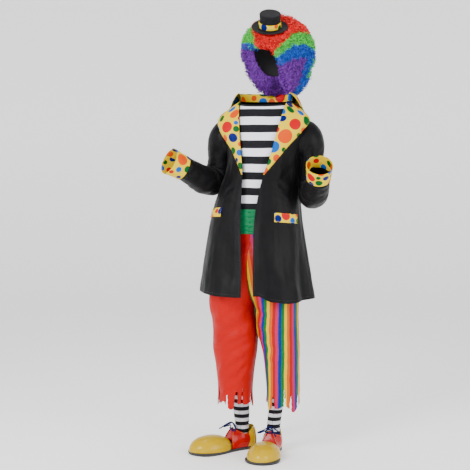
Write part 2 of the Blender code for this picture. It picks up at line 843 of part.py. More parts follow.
def hair_point(turn, polar, row):
    side = Vector((-WIG_FACING.y, WIG_FACING.x, 0))
    level = WIG_FACING * math.cos(turn) + side * math.sin(turn)
    direction = level * math.sin(polar) + Vector((0, 0, math.cos(polar)))
    nape = 0.032 * ease((math.degrees(polar) - 112) / 40)
    curls = CURL_HEIGHT * (math.sin(7 * turn + 2.4 * row) + math.sin(11 * turn - 1.7 * row)) / 2
    return WIG_CENTRE + direction * (WIG_RADIUS + nape + curls)


def head_point(turn, polar):
    side = Vector((-WIG_FACING.y, WIG_FACING.x, 0))
    level = WIG_FACING * (HEAD_RADII.x * math.cos(turn)) + side * (HEAD_RADII.y * math.sin(turn))
    centre = WIG_CENTRE + WIG_FACING * HEAD_FORWARD
    return centre + level * math.sin(polar) + Vector((0, 0, HEAD_RADII.z * math.cos(polar)))


def wig():
    """A thick shell of curls: rings down the outside to the hairline, and up round the head."""
    around, outside, inside = 26, 9, 6
    crown = math.radians(10)
    turns = [2 * math.pi * k / around for k in range(around)]
    rings = []
    for row in range(outside + 1):
        share = row / outside
        rings.append([hair_point(t, blend(crown, hair_edge(t), share), row) for t in turns])
    for row in range(inside + 1):
        share = row / inside
        rings.append([head_point(t, blend(hair_edge(t), crown, share)) for t in turns])
    return plug(rings)


def hat_rings(profile, around=18):
    axis = Vector((0, 0, math.cos(HAT_LEAN))) + TOWARDS_PHOTO * math.sin(HAT_LEAN)
    first = axis.cross(ACROSS_PHOTO).normalized()
    second = axis.cross(first)
    rings = []
    for ring in profile:
        middle = HAT_CENTRE + axis * ring.height
        spokes = [2 * math.pi * k / around for k in range(around)]
        rings.append([middle + (first * math.cos(t) + second * math.sin(t)) * ring.radius for t in spokes])
    return rings


# Socks and shoes


def sock(table):
    def surface(u, v):
        height = blend(table[0].height, table[-1].height, v)
        x = smooth_column(table, "x", height)
        y = smooth_column(table, "y", height)
        radius = smooth_column(table, "radius", height)
        angle = 2 * math.pi * u
        return Vector((x + radius * math.sin(angle), y - radius * math.cos(angle), height))

    return surface


def shoe_place(shoe, along, lateral, height):
    """A point in a shoe's own measures: from the heel, to the wearer's left, above the floor."""
    heading = (shoe.toe - shoe.heel).normalized()
    left = Vector((-heading.y, heading.x, 0))
    return shoe.heel + heading * along + left * lateral + Vector((0, 0, height))


def sole_half_width(along, length):
    width = smooth_column(SOLE_WIDTHS, "half_width", along)
    heel = min(1.0, along / 0.034)
    toe = min(1.0, (length - along) / 0.070)
    return width * math.sqrt(max(0.0, 1 - (1 - heel) ** 2)) * math.sqrt(max(0.0, 1 - (1 - toe) ** 2))


def sole(shoe):
    length = (shoe.toe - shoe.heel).length
    steps = 13
    rings = []
    for height, scale in ((0.0, 0.97), (SOLE_THICKNESS * 0.4, 1.0), (SOLE_THICKNESS, 0.99)):
        ring = []
        for k in range(2 * steps):
            along = length * (0.5 - 0.5 * math.cos(math.pi * k / steps))
            side = 1 if k < steps else -1
            lateral = side * sole_half_width(along, length)
            ring.append(shoe_place(shoe, blend(length / 2, along, scale), lateral * scale, height))
        rings.append(ring)
    return plug(rings)


def toe_cap(shoe):
    """The bulging toe: a filled dome on the sole, cut flat where the upper meets it."""
    length = (shoe.toe - shoe.heel).length
    half_length = 0.098
    middle = length - half_length - 0.002
    rings = []
    for k in range(7):
        lift = math.radians(13.5 * k)
        spread = math.cos(lift) ** 0.8
        ring = []
        for m in range(18):
            turn = 2 * math.pi * m / 18
            along = middle + half_length * spread * math.cos(turn)
            lateral = 0.070 * spread * math.sin(turn)
            height = SOLE_THICKNESS + SEAM + TOE_HEIGHT * math.sin(lift)
            ring.append(shoe_place(shoe, along, lateral, height))
        rings.append(ring)
    mesh = plug(rings)
    heading = (shoe.toe - shoe.heel).normalized()
    bm = bmesh.new()
    bm.from_mesh(mesh)
    made = bmesh.ops.bisect_plane(
        bm,
        geom=bm.verts[:] + bm.edges[:] + bm.faces[:],
        plane_co=shoe_place(shoe, TOE_CAP_START, 0, 0),
        plane_no=heading,
        clear_inner=True,
    )
    rim = [item for item in made["geom_cut"] if isinstance(item, bmesh.types.BMEdge)]
    bmesh.ops.holes_fill(bm, edges=rim)
    bmesh.ops.recalc_face_normals(bm, faces=bm.faces)
    bm.to_mesh(mesh)
    bm.free()
    return mesh


def shoe_upper(shoe):
    """The wall round the heel and sides, up to the line that the ankle comes out of."""
    length = (shoe.toe - shoe.heel).length

    def surface(u, v):
        swing = 1 - math.sin(math.pi * u)
        side = 1 if u < 0.5 else -1
        low_along = 0.002 + (UPPER_FRONT - 0.002) * swing
        low_lateral = side * sole_half_width(low_along, length) * 0.96
        high_along = 0.012 + 0.104 * swing
        narrowing = blend(0.040, 0.013, ease((high_along - 0.066) / 0.050))
        high_lateral = side * narrowing * abs(math.cos(math.pi * u)) ** 0.7
        dip = 0.022 * math.sin(math.pi * min(1.0, swing * 1.05)) ** 2
        high = blend(HEEL_HEIGHT, INSTEP_HEIGHT, swing) - dip
        low = shoe_place(shoe, low_along, low_lateral, SOLE_THICKNESS + 0.0008)
        top = shoe_place(shoe, high_along, high_lateral, high)
        middle = shoe_place(shoe, 0.065, 0, 0)
        away = Vector((low.x - middle.x, low.y - middle.y, 0)).normalized()
        return blend(low, top, v) + away * 0.007 * math.sin(math.pi * v) * min(1.0, 3 * swing + 0.5)

    return surface


def heel_counter(shoe):
    upper = shoe_upper(shoe)

    def surface(u, v):
        u, v = blend(0.365, 0.635, u), blend(0.03, 0.86, v)
        return upper(u, v) + normal_of(upper, u, v) * (0.0011 + SHOE_WALL)

    return surface


def tongue(shoe):
    """The strip that closes the upper's front, just inside its edges, and stands up above them."""
    upper = shoe_upper(shoe)
    heading = (shoe.toe - shoe.heel).normalized()

    def surface(u, v):
        across, v = 2 * u - 1, blend(0.45, 1.12, v)
        left, right = upper(0, v), upper(1, v)
        half = (left - right) / 2
        narrower = 1 - 0.0028 / half.length
        set_back = 0.0015 * (1 - across**2) - 0.0030
        return (left + right) / 2 + half * across * narrower + heading * set_back

    return surface


def cord(points, radius, around=6, samples=2):
    """A round cord along a smooth curve through the points."""
    count = (len(points) - 1) * samples
    line = [spline_point(points, k / count) for k in range(count + 1)]
    rings = []
    up = Vector((0, 0, 1))
    for k, point in enumerate(line):
        ahead = (line[min(k + 1, count)] - line[max(k - 1, 0)]).normalized()
        up = (up - ahead * up.dot(ahead)).normalized()
        side = ahead.cross(up)
        spokes = [2 * math.pi * m / around for m in range(around)]
        rings.append([point + (up * math.cos(t) + side * math.sin(t)) * radius for t in spokes])
    return plug(rings)


def shoe_lace(shoe):
    """Two crossings over the tongue, then a bow with both ends free."""
    out = shoe.lace_side
    route = [
        (0.1176, 0.0150, 0.0924),
        (0.1174, 0.0000, 0.0928),
        (0.1150, -0.0155, 0.0924),
        (0.1090, -0.0200, 0.0945),
        (0.1040, -0.0120, 0.1060),
        (0.1080, 0.0080, 0.1160),
        (0.1120, 0.0240, 0.1080),
        (0.1220, 0.0440, 0.0980),
        (0.1330, 0.0380, 0.0940),
        (0.1260, 0.0130, 0.1030),
        (0.1200, 0.0000, 0.1080),
        (0.1260, -0.0130, 0.1040),
        (0.1350, -0.0380, 0.0950),
        (0.1230, -0.0500, 0.0930),
        (0.1130, -0.0260, 0.1030),
        (0.1150, 0.0000, 0.1200),
        (0.1300, 0.0140, 0.1120),
        (0.1480, 0.0280, 0.0960),
        (0.1560, 0.0370, 0.0880),
    ]
    return cord([shoe_place(shoe, a, b * out, h) for a, b, h in route], LACE_RADIUS)


def build():
    for old in list(bpy.data.objects):
        bpy.data.objects.remove(old)
    costume = bpy.data.collections.new("clown_costume")
    cutters = bpy.data.collections.new("cutters")
    bpy.context.scene.collection.children.link(costume)
    bpy.context.scene.collection.children.link(cutters)
    root = bpy.data.objects.new("costume", None)
    costume.objects.link(root)
    root.location = (0, 0, -HOLD_HEIGHT)

    black = material("black_satin", (0.022, 0.022, 0.026), 0.45)
    dotted = material("dotted_satin", (0.86, 0.80, 0.12), 0.40)
    striped = material("striped_jersey", (0.80, 0.78, 0.82), 0.80)
    neck_black = material("black_jersey", (0.03, 0.03, 0.035), 0.80)
    green = material("green_satin", (0.0, 0.36, 0.16), 0.50)
    red = material("red_satin", (0.80, 0.05, 0.03), 0.50)
    rainbow = material("rainbow_satin", (0.75, 0.35, 0.20), 0.50)

    hair = material("rainbow_hair", (0.70, 0.06, 0.10), 0.70)
    felt = material("black_felt", (0.020, 0.020, 0.022), 0.85)
    knit = material("striped_knit", (0.80, 0.78, 0.80), 0.85)
    rubber = material("black_rubber", (0.020, 0.020, 0.020), 0.55)
    yellow = material("yellow_vinyl", (0.95, 0.72, 0.01), 0.22)
    shoe_red = material("red_vinyl", (0.72, 0.02, 0.02), 0.22)
    blue = material("blue_cord", (0.02, 0.03, 0.16), 0.70)

    def cutter(name, mesh):
        obj = add_object(name, mesh, None, cutters, root)
        obj.hide_render = True
        obj.display_type = "WIRE"
        return obj

    def piece(name, mesh, paint):
        return add_object(name, mesh, paint, costume, root)

    armholes = [
        cutter(f"{name}_armhole_cutter", plug(armhole_rings(arm)))
        for name, arm in (("right", RIGHT_ARM), ("left", LEFT_ARM))
    ]
    inside_coat = cutter("body_cutter", body_plug(LAY))

    back = piece("coat_back", cloth_wall(coat_back, COAT_WALL, 16, COAT_ROWS), black)
    for hole in armholes:
        cut(back, hole)
    for side, word, hole in ((-1, "right", armholes[0]), (1, "left", armholes[1])):
        front = piece(f"coat_front_{word}", cloth_wall(coat_front(side), COAT_WALL, 8, COAT_ROWS), black)
        cut(front, hole)
        piece(f"lapel_{word}", cloth_wall(lapel(side), TRIM_WALL, 5, 12), dotted)
        piece(f"pocket_flap_{word}", cloth_wall(pocket_flap(side), TRIM_WALL, 6, 2), dotted)
    piece("collar", cloth_wall(collar, TRIM_WALL, 18, 7), dotted)

    for arm, word in ((RIGHT_ARM, "right"), (LEFT_ARM, "left")):
        surface, rows = sleeve(arm)
        tube = piece(f"sleeve_{word}", cloth_wall(surface, COAT_WALL, 14, rows, closed=True), black)
        cut(tube, inside_coat)
        piece(f"cuff_{word}", cloth_wall(cuff(arm), TRIM_WALL, 14, 3, closed=True), dotted)

    piece("shirt_front", cloth_wall(shirt_front, SHIRT_WALL, 12, 12), striped)
    piece("shirt_neckband", cloth_wall(neckband, SHIRT_WALL, 12, 1), neck_black)
    piece("waist_sash", cloth_wall(sash, SASH_WALL, 32, 2 * SASH_WAVES, closed=True), green)

    for side, word, paint in ((-1, "right", red), (1, "left", rainbow)):
        rips = cutter(f"{word}_rips_cutter", rip_cutter(side))
        for front, name in ((True, "front"), (False, "back")):
            panel = cloth_wall(leg_panel(side, front), TROUSER_WALL, 8, 13)
            cut(piece(f"trouser_{name}_{word}", panel, paint), rips)

    hat_space = [HatRing(-SEAM, 0.0752), HatRing(0.14, 0.0752)]
    collar_skin = cloth_wall(
        lambda u, v: collar(u, v) + normal_of(collar, u, v) * 0.0005, TRIM_WALL + 0.0010, 18, 7
    )
    curls = piece("wig", wig(), hair)
    cut(curls, cutter("hat_cutter", plug(hat_rings(hat_space))))
    cut(curls, cutter("collar_cutter", collar_skin))
    turns = [k * math.pi / 12 for k in range(24)]
    circle = [Vector((0.25 * math.cos(t), 0.25 * math.sin(t), 0)) for t in turns]
    below = [[WIG_CENTRE + spoke - Vector((0, 0, drop)) for spoke in circle] for drop in (0.30, NAPE_DROP)]
    cut(curls, cutter("nape_cutter", plug(below)))
    piece("hat", plug(hat_rings(HAT_PROFILE)), felt)
    band_profile = [
        HatRing(0.008, 0.0467),
        HatRing(0.030, 0.0455),
        HatRing(0.030, 0.0441),
        HatRing(0.008, 0.0453),
    ]
    band = piece("hat_band", ring_band(hat_rings(band_profile)), dotted)
    band.data.set_sharp_from_angle(angle=math.radians(30))

    for shoe, table, word in ((RIGHT_SHOE, RIGHT_SOCK, "right"), (LEFT_SHOE, LEFT_SOCK, "left")):
        piece(f"sock_{word}", cloth_wall(sock(table), SOCK_WALL, 12, 6, closed=True), knit)
        piece(f"shoe_sole_{word}", sole(shoe), rubber)
        piece(f"shoe_toe_{word}", toe_cap(shoe), yellow)
        piece(f"shoe_upper_{word}", cloth_wall(shoe_upper(shoe), SHOE_WALL, 18, 4), shoe_red)
        piece(f"shoe_heel_{word}", cloth_wall(heel_counter(shoe), SHOE_WALL, 8, 3), yellow)
        piece(f"shoe_tongue_{word}", cloth_wall(tongue(shoe), SHOE_WALL, 4, 4), shoe_red)
        piece(f"shoe_lace_{word}", shoe_lace(shoe), blue)


build()
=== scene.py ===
# %% [markdown]
# # Clown costume: the visible surfaces
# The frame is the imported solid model. Each soft piece is built here again from the same sizes,
# much finer, with its folds, seams and stitches, and takes the place of its solid.

import math
from collections import namedtuple

import bmesh
import bpy
import numpy as np
from mathutils import Matrix, Vector


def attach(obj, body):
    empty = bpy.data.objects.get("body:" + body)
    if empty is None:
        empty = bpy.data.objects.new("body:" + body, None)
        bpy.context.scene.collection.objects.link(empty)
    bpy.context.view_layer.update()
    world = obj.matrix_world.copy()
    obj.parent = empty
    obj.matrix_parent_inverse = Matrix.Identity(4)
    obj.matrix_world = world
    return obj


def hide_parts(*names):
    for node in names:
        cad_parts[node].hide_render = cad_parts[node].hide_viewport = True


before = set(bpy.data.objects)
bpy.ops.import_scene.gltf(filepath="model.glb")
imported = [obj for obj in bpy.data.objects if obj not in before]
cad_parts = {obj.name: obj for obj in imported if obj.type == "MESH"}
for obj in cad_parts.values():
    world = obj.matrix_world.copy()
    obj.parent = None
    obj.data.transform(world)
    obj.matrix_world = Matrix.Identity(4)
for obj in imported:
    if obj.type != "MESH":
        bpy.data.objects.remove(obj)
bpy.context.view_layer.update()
FLOOR = -1.5
print("nodes", len(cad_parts))

# %% [markdown]
# ## Sizes
# Heights are above the floor, in metres, and the row's origin is 1.5 m above it.
# Angles go round the body from the middle of the front towards the wearer's left.

# %% Sizes and tables
COAT_WALL, TRIM_WALL, SHIRT_WALL, TROUSER_WALL = 0.0016, 0.0018, 0.0014, 0.0016
SEAM, LAY, COAT_HEM, COAT_NECK, BREAK_HEIGHT, LAPEL_LIFT = 0.0003, 0.0009, 0.655, 1.497, 1.188, 0.014
SIDE = math.pi / 2

COAT = {
    "height": [0.655, 0.760, 0.880, 0.980, 1.060, 1.140, 1.210, 1.270, 1.330, 1.380, 1.412, 1.438, 1.460, 1.480, 1.497],
    "half_width": [0.243, 0.229, 0.211, 0.197, 0.184, 0.166, 0.154, 0.154, 0.170, 0.186, 0.187, 0.172, 0.149, 0.127, 0.110],
    "half_depth": [0.188, 0.176, 0.160, 0.149, 0.143, 0.138, 0.136, 0.134, 0.129, 0.121, 0.112, 0.103, 0.095, 0.087, 0.080],
    "centre_x": [-0.033, -0.032, -0.029, -0.026, -0.019, -0.008, 0.004, 0.011, 0.013, 0.014, 0.014, 0.014, 0.014, 0.014, 0.014],
    "centre_y": [0.004, 0.004, 0.002, 0.001, 0, 0, 0, 0, 0.003, 0.006, 0.009, 0.011, 0.013, 0.014, 0.015],
}
COAT_EDGES = {
    "height": [0.655, 0.800, 0.950, 1.060, 1.188, 1.290, 1.410, 1.497],
    "right": [-0.008, -0.012, -0.024, -0.033, -0.049, -0.068, -0.086, -0.100],
    "left": [0.044, 0.037, 0.031, 0.031, 0.040, 0.061, 0.086, 0.100],
}
HEM_LINE = {
    "degrees": [-180, -90, -5, 12, 28, 45, 90, 135, 180, 270],
    "height": [0.680, 0.700, 0.690, 0.698, 0.674, 0.667, 0.673, 0.684, 0.680, 0.700],
}
MIDDLE_LINE = {
    "height": [0.200, 0.450, 0.540, 0.640, 0.760, 0.900, 1.012],
    "x": [0.000, -0.009, -0.020, -0.029, -0.031, -0.028, -0.022],
}
LEG_HEIGHTS = [0.205, 0.285, 0.370, 0.450, 0.540, 0.640, 0.700, 0.780, 0.860, 0.930, 1.012]
RIGHT_LEG = {
    "height": LEG_HEIGHTS,
    "centre": [-0.124, -0.123, -0.121, -0.119, -0.117, -0.128, -0.110, -0.076, -0.046, -0.024, -0.022],
    "half_width": [0.073, 0.074, 0.083, 0.095, 0.0965, 0.0985, 0.116, 0.143, 0.158, 0.152, 0.151],
    "half_depth": [0.080, 0.083, 0.088, 0.095, 0.103, 0.113, 0.122, 0.129, 0.128, 0.114, 0.113],
    "centre_y": [0.028, 0.026, 0.018, 0.010, 0.006, 0.003, 0.001, 0, 0, 0, 0],
}
LEFT_LEG = {
    "height": LEG_HEIGHTS,
    "centre": [0.090, 0.090, 0.087, 0.083, 0.069, 0.064, 0.044, 0.012, -0.012, -0.022, -0.022],
    "half_width": [0.069, 0.070, 0.073, 0.078, 0.0885, 0.0925, 0.113, 0.142, 0.156, 0.152, 0.151],
    "half_depth": [0.080, 0.082, 0.085, 0.091, 0.100, 0.111, 0.121, 0.129, 0.128, 0.114, 0.113],
    "centre_y": [0.020, 0.018, 0.012, 0.008, 0.004, 0.003, 0.001, 0, 0, 0, 0],
}
Flute = namedtuple("Flute", "degrees width top depth")
FLUTES = [
    Flute(-112, 0.20, 1.04, 0.015),
    Flute(-58, 0.26, 0.96, -0.008),
    Flute(-26, 0.18, 0.86, 0.006),
    Flute(40, 0.24, 0.92, 0.007),
    Flute(74, 0.17, 1.10, -0.014),
    Flute(96, 0.15, 1.12, 0.016),
    Flute(128, 0.20, 1.02, -0.012),
    Flute(158, 0.22, 1.08, 0.013),
    Flute(192, 0.20, 1.00, -0.011),
    Flute(222, 0.22, 1.06, 0.012),
]
print("coat rows", len(COAT["height"]))

# %% [markdown]
# ## Curves through tables
# Every table is read on a cubic curve, for whole arrays of heights at once.

# %% Curves and small helpers


def column(table, name, at, key="height"):
    """A table's column at an array of heights, on the same cubic curve as the solids use."""
    xs, ys = np.array(table[key], float), np.array(table[name], float)
    slopes = np.empty_like(ys)
    slopes[1:-1] = (ys[2:] - ys[:-2]) / (xs[2:] - xs[:-2])
    at = np.asarray(at, float)
    k = np.clip(np.searchsorted(xs, at) - 1, 0, len(xs) - 2)
    span = xs[k + 1] - xs[k]
    chord = (ys[k + 1] - ys[k]) / span
    t = np.clip((at - xs[k]) / span, -0.2, 1.2)
    m0 = np.where(k == 0, chord, slopes[k]) * span
    m1 = np.where(k == len(xs) - 2, chord, slopes[np.minimum(k + 1, len(xs) - 2)]) * span
    a, b = ys[k], ys[k + 1]
    return (2 * t**3 - 3 * t**2 + 1) * a + (t**3 - 2 * t**2 + t) * m0 + (3 * t**2 - 2 * t**3) * b + (t**3 - t**2) * m1


def ease(t):
    t = np.clip(t, 0, 1)
    return t * t * (3 - 2 * t)


def mix(a, b, t):
    return a + (b - a) * t


def power(value, exponent):
    return np.sign(value) * np.abs(value) ** exponent


def stack(x, y, z):
    return np.stack(np.broadcast_arrays(x, y, z), axis=-1).astype(float)


def unit(v):
    return v / np.maximum(np.linalg.norm(v, axis=-1, keepdims=True), 1e-9)


def wander(a, b, seed=0.0):
    """Smooth uneven noise from -1 to 1 over two coordinates, about one bump each unit."""
    s = seed * 1.618
    total = np.sin(2.1 * a + 1.3 * b + s) * np.sin(1.7 * b - 0.9 * a + 2.3 * s)
    total += 0.6 * np.sin(4.3 * a - 2.9 * b + 1.9 * s) * np.sin(3.1 * b + 1.1 * a + 0.7 * s)
    total += 0.35 * np.sin(7.9 * a + 5.3 * b - s) * np.sin(6.7 * b - 4.1 * a + 3.1 * s)
    return total / 1.5


Crease = namedtuple("Crease", "a0 b0 a1 b1 width depth")


def creases(a, b, rows):
    """Soft troughs and ridges along short lines in two coordinates, fading at both ends."""
    total = np.zeros(np.broadcast(a, b).shape)
    for k, row in enumerate(rows):
        da, db = row.a1 - row.a0, row.b1 - row.b0
        length = math.hypot(da, db)
        t = ((a - row.a0) * da + (b - row.b0) * db) / length**2
        off = ((a - row.a0) * -db + (b - row.b0) * da) / length
        off = off + row.width * 0.8 * np.sin(3.0 * t + k) + row.width * 0.25 * wander(a / row.width / 3, b / row.width / 3, k)
        ends = ease((t + 0.12) / 0.35) * ease((1.12 - t) / 0.35)
        x = off / row.width
        total += row.depth * ends * (np.exp(-(x**2)) - 0.45 * np.exp(-((x - 1.6) ** 2)) - 0.45 * np.exp(-((x + 1.6) ** 2)))
    return total


print("waist half width", round(float(column(COAT, "half_width", 1.06)), 4))

# %% [markdown]
# ## Body of the coat
# The coat's skin is a squared ellipse that changes with height, with flutes in the skirt.
# Fine creases are laid on top of it.

# %% Coat skin
COAT_CREASES = [
    Crease(-0.30, 1.150, -0.75, 1.100, 0.012, -0.0022),
    Crease(-0.35, 1.090, -0.90, 1.060, 0.010, 0.0018),
    Crease(0.50, 1.180, 0.95, 1.120, 0.012, -0.0025),
    Crease(0.55, 1.120, 1.05, 1.075, 0.010, 0.0020),
    Crease(0.95, 1.235, 0.70, 1.160, 0.014, -0.0028),
    Crease(1.15, 1.225, 0.98, 1.090, 0.020, 0.0030),
    Crease(-0.90, 1.240, -0.62, 1.150, 0.014, -0.0026),
    Crease(0.30, 1.000, 0.50, 0.760, 0.030, 0.0028),
    Crease(0.85, 0.980, 0.98, 0.700, 0.040, -0.0035),
    Crease(-0.40, 0.960, -0.46, 0.720, 0.030, -0.0030),
    Crease(-0.85, 0.960, -0.98, 0.720, 0.035, 0.0032),
    Crease(2.20, 1.330, 2.90, 1.270, 0.016, -0.0030),
    Crease(2.00, 1.240, 2.70, 1.170, 0.018, 0.0026),
    Crease(4.00, 1.330, 3.45, 1.260, 0.016, -0.0030),
    Crease(4.20, 1.240, 3.60, 1.180, 0.018, 0.0026),
    Crease(3.14, 1.120, 3.20, 0.760, 0.050, -0.0040),
    Crease(2.60, 1.050, 2.50, 0.720, 0.045, 0.0036),
    Crease(3.70, 1.040, 3.85, 0.720, 0.045, 0.0036),
]


def section_point(table, height, angle, squareness=2.25):
    p = 2 / squareness
    x = column(table, "centre_x", height) + column(table, "half_width", height) * power(np.sin(angle), p)
    y = column(table, "centre_y", height) - column(table, "half_depth", height) * power(np.cos(angle), p)
    return stack(x, y, height)


def angle_across(height, across):
    share = np.clip(across / column(COAT, "half_width", height), -0.999, 0.999)
    return np.arcsin(power(share, 2.25 / 2))


def coat_skin(height, angle):
    total = 0.0
    for f in FLUTES:
        turn = (angle - math.radians(f.degrees) + math.pi) % (2 * math.pi) - math.pi
        total = total + f.depth * ease((f.top - height) / (f.top - COAT_HEM)) * np.exp(-((turn / f.width) ** 2))
    away = stack(np.sin(angle), -np.cos(angle), 0)
    return section_point(COAT, height, angle) + away * np.asarray(total)[..., None]


def skin_normal(height, angle, step=0.003):
    across = coat_skin(height, angle + step) - coat_skin(height, angle - step)
    up = coat_skin(height + step, angle) - coat_skin(height - step, angle)
    return unit(np.cross(across, up))


def coat_point(height, angle, out=0.0):
    out = np.asarray(out, float)
    return coat_skin(height, angle) + out[..., None] * skin_normal(height, angle)


def coat_relief(height, angle):
    """Fine folds of the satin: named creases, and a slow unevenness that grows in the skirt."""
    turn = np.where(angle < -SIDE * 1.02, angle + 2 * math.pi, angle)
    relief = creases(turn * 0.16, height, [r._replace(a0=r.a0 * 0.16, a1=r.a1 * 0.16) for r in COAT_CREASES])
    skirt = ease((1.02 - height) / 0.30)
    relief = relief + (0.0010 + 0.0016 * skirt) * wander(angle * 3.0, height * 6, 1)
    relief = relief + 0.0007 * wander(angle * 9 + 3 * height, height * 14, 2)
    calm = ease((1.485 - height) / 0.05) * ease((height - 0.66) / 0.02)
    return relief * mix(0.35, 1.0, calm)


def edge_angle(side, height):
    return angle_across(height, column(COAT_EDGES, "left" if side > 0 else "right", height))


def hem_height(angle):
    degrees = np.degrees(angle)
    xs, ys = np.array(HEM_LINE["degrees"], float), np.array(HEM_LINE["height"])
    k = np.clip(np.searchsorted(xs, degrees) - 1, 0, len(xs) - 2)
    return mix(ys[k], ys[k + 1], ease((degrees - xs[k]) / (xs[k + 1] - xs[k])))


def coat_front(side):
    def surface(u, v):
        hem_edge = float(edge_angle(side, COAT_HEM))
        span = (hem_edge, SIDE) if side > 0 else (-SIDE, hem_edge)
        height = mix(hem_height(mix(*span, u)), COAT_NECK, v)
        inner = edge_angle(side, height)
        seam = side * SIDE - side * SEAM / 2 / column(COAT, "half_depth", height)
        start, end = (inner, seam) if side > 0 else (seam, inner)
        angle = mix(start, end, u)
        edge_calm = ease(np.abs(angle - inner) / 0.10)
        relief = coat_relief(height, angle) * mix(0.25, 1, edge_calm)
        relief -= 0.0009 * np.exp(-((np.abs(angle - seam) * 0.17 / 0.004) ** 2))
        return coat_point(height, angle, relief)

    return surface


def coat_back(u, v):
    height = mix(hem_height(mix(SIDE, 3 * SIDE, u)), COAT_NECK, v)
    step = SEAM / 2 / column(COAT, "half_depth", height)
    angle = mix(SIDE + step, 3 * SIDE - step, u)
    relief = coat_relief(height, angle)
    relief = relief - 0.0012 * np.exp(-(((angle - math.pi) * 0.13 / 0.003) ** 2))
    relief -= 0.0009 * np.exp(-((np.minimum(u, 1 - u) * 0.42 / 0.004) ** 2))
    return coat_point(height, angle, relief)


print("coat front edge at the break", edge_angle(1, BREAK_HEIGHT))

# %% [markdown]
# ## From surface to cloth
# A surface becomes a dense grid with a UV map in metres. It can be clipped along any smooth
# line, and is then thickened inwards, with a flat strip closing its edges.

# %% Cloth maker
PIECES = {}
FLAT = {}


def grid(surface, across, along, closed=False):
    u = np.linspace(0, 1, across + 1)
    v = np.linspace(0, 1, along + 1)
    uu, vv = np.meshgrid(u, v)
    points = surface(uu, vv)
    # UVs in metres, from the middle column outwards and up the middle row
    du = np.linalg.norm(np.diff(points, axis=1), axis=2)
    uv_x = np.concatenate([np.zeros((along + 1, 1)), np.cumsum(du, axis=1)], axis=1)
    uv_x -= uv_x[:, across // 2][:, None]
    dv = np.linalg.norm(np.diff(points, axis=0), axis=2)
    uv_y = np.concatenate([np.zeros((1, across + 1)), np.cumsum(dv, axis=0)], axis=0)
    return uu, vv, points, np.stack([uv_x, uv_y], axis=2)


def clip(verts, extra, tris, field):
    """Cuts triangles along the zero line of a field and keeps the side where it is positive."""
    inside = field > 0
    count = inside[tris].sum(axis=1)
    kept = [tris[count == 3]]
    new_verts, new_extra, made = [], [], {}
    base = len(verts)

    def crossing(i, j):
        key = (min(i, j), max(i, j))
        if key not in made:
            t = field[i] / (field[i] - field[j])
            made[key] = base + len(new_verts)
            new_verts.append(verts[i] + (verts[j] - verts[i]) * t)
            new_extra.append(extra[i] + (extra[j] - extra[i]) * t)
        return made[key]

    added = []
    for tri in tris[(count == 1) | (count == 2)]:
        flags = inside[tri]
        if flags.sum() == 1:
            k = int(np.argmax(flags))
            a, b, c = tri[k], tri[(k + 1) % 3], tri[(k + 2) % 3]
            added.append((a, crossing(a, b), crossing(a, c)))
        else:
            k = int(np.argmin(flags))
            a, b, c = tri[k], tri[(k + 1) % 3], tri[(k + 2) % 3]
            ab, ac = crossing(a, b), crossing(a, c)
            added += [(ab, b, c), (ab, c, ac)]
    if added:
        kept.append(np.array(added))
        verts = np.vstack([verts, np.array(new_verts)])
        extra = np.vstack([extra, np.array(new_extra)])
    return verts, extra, np.vstack(kept)


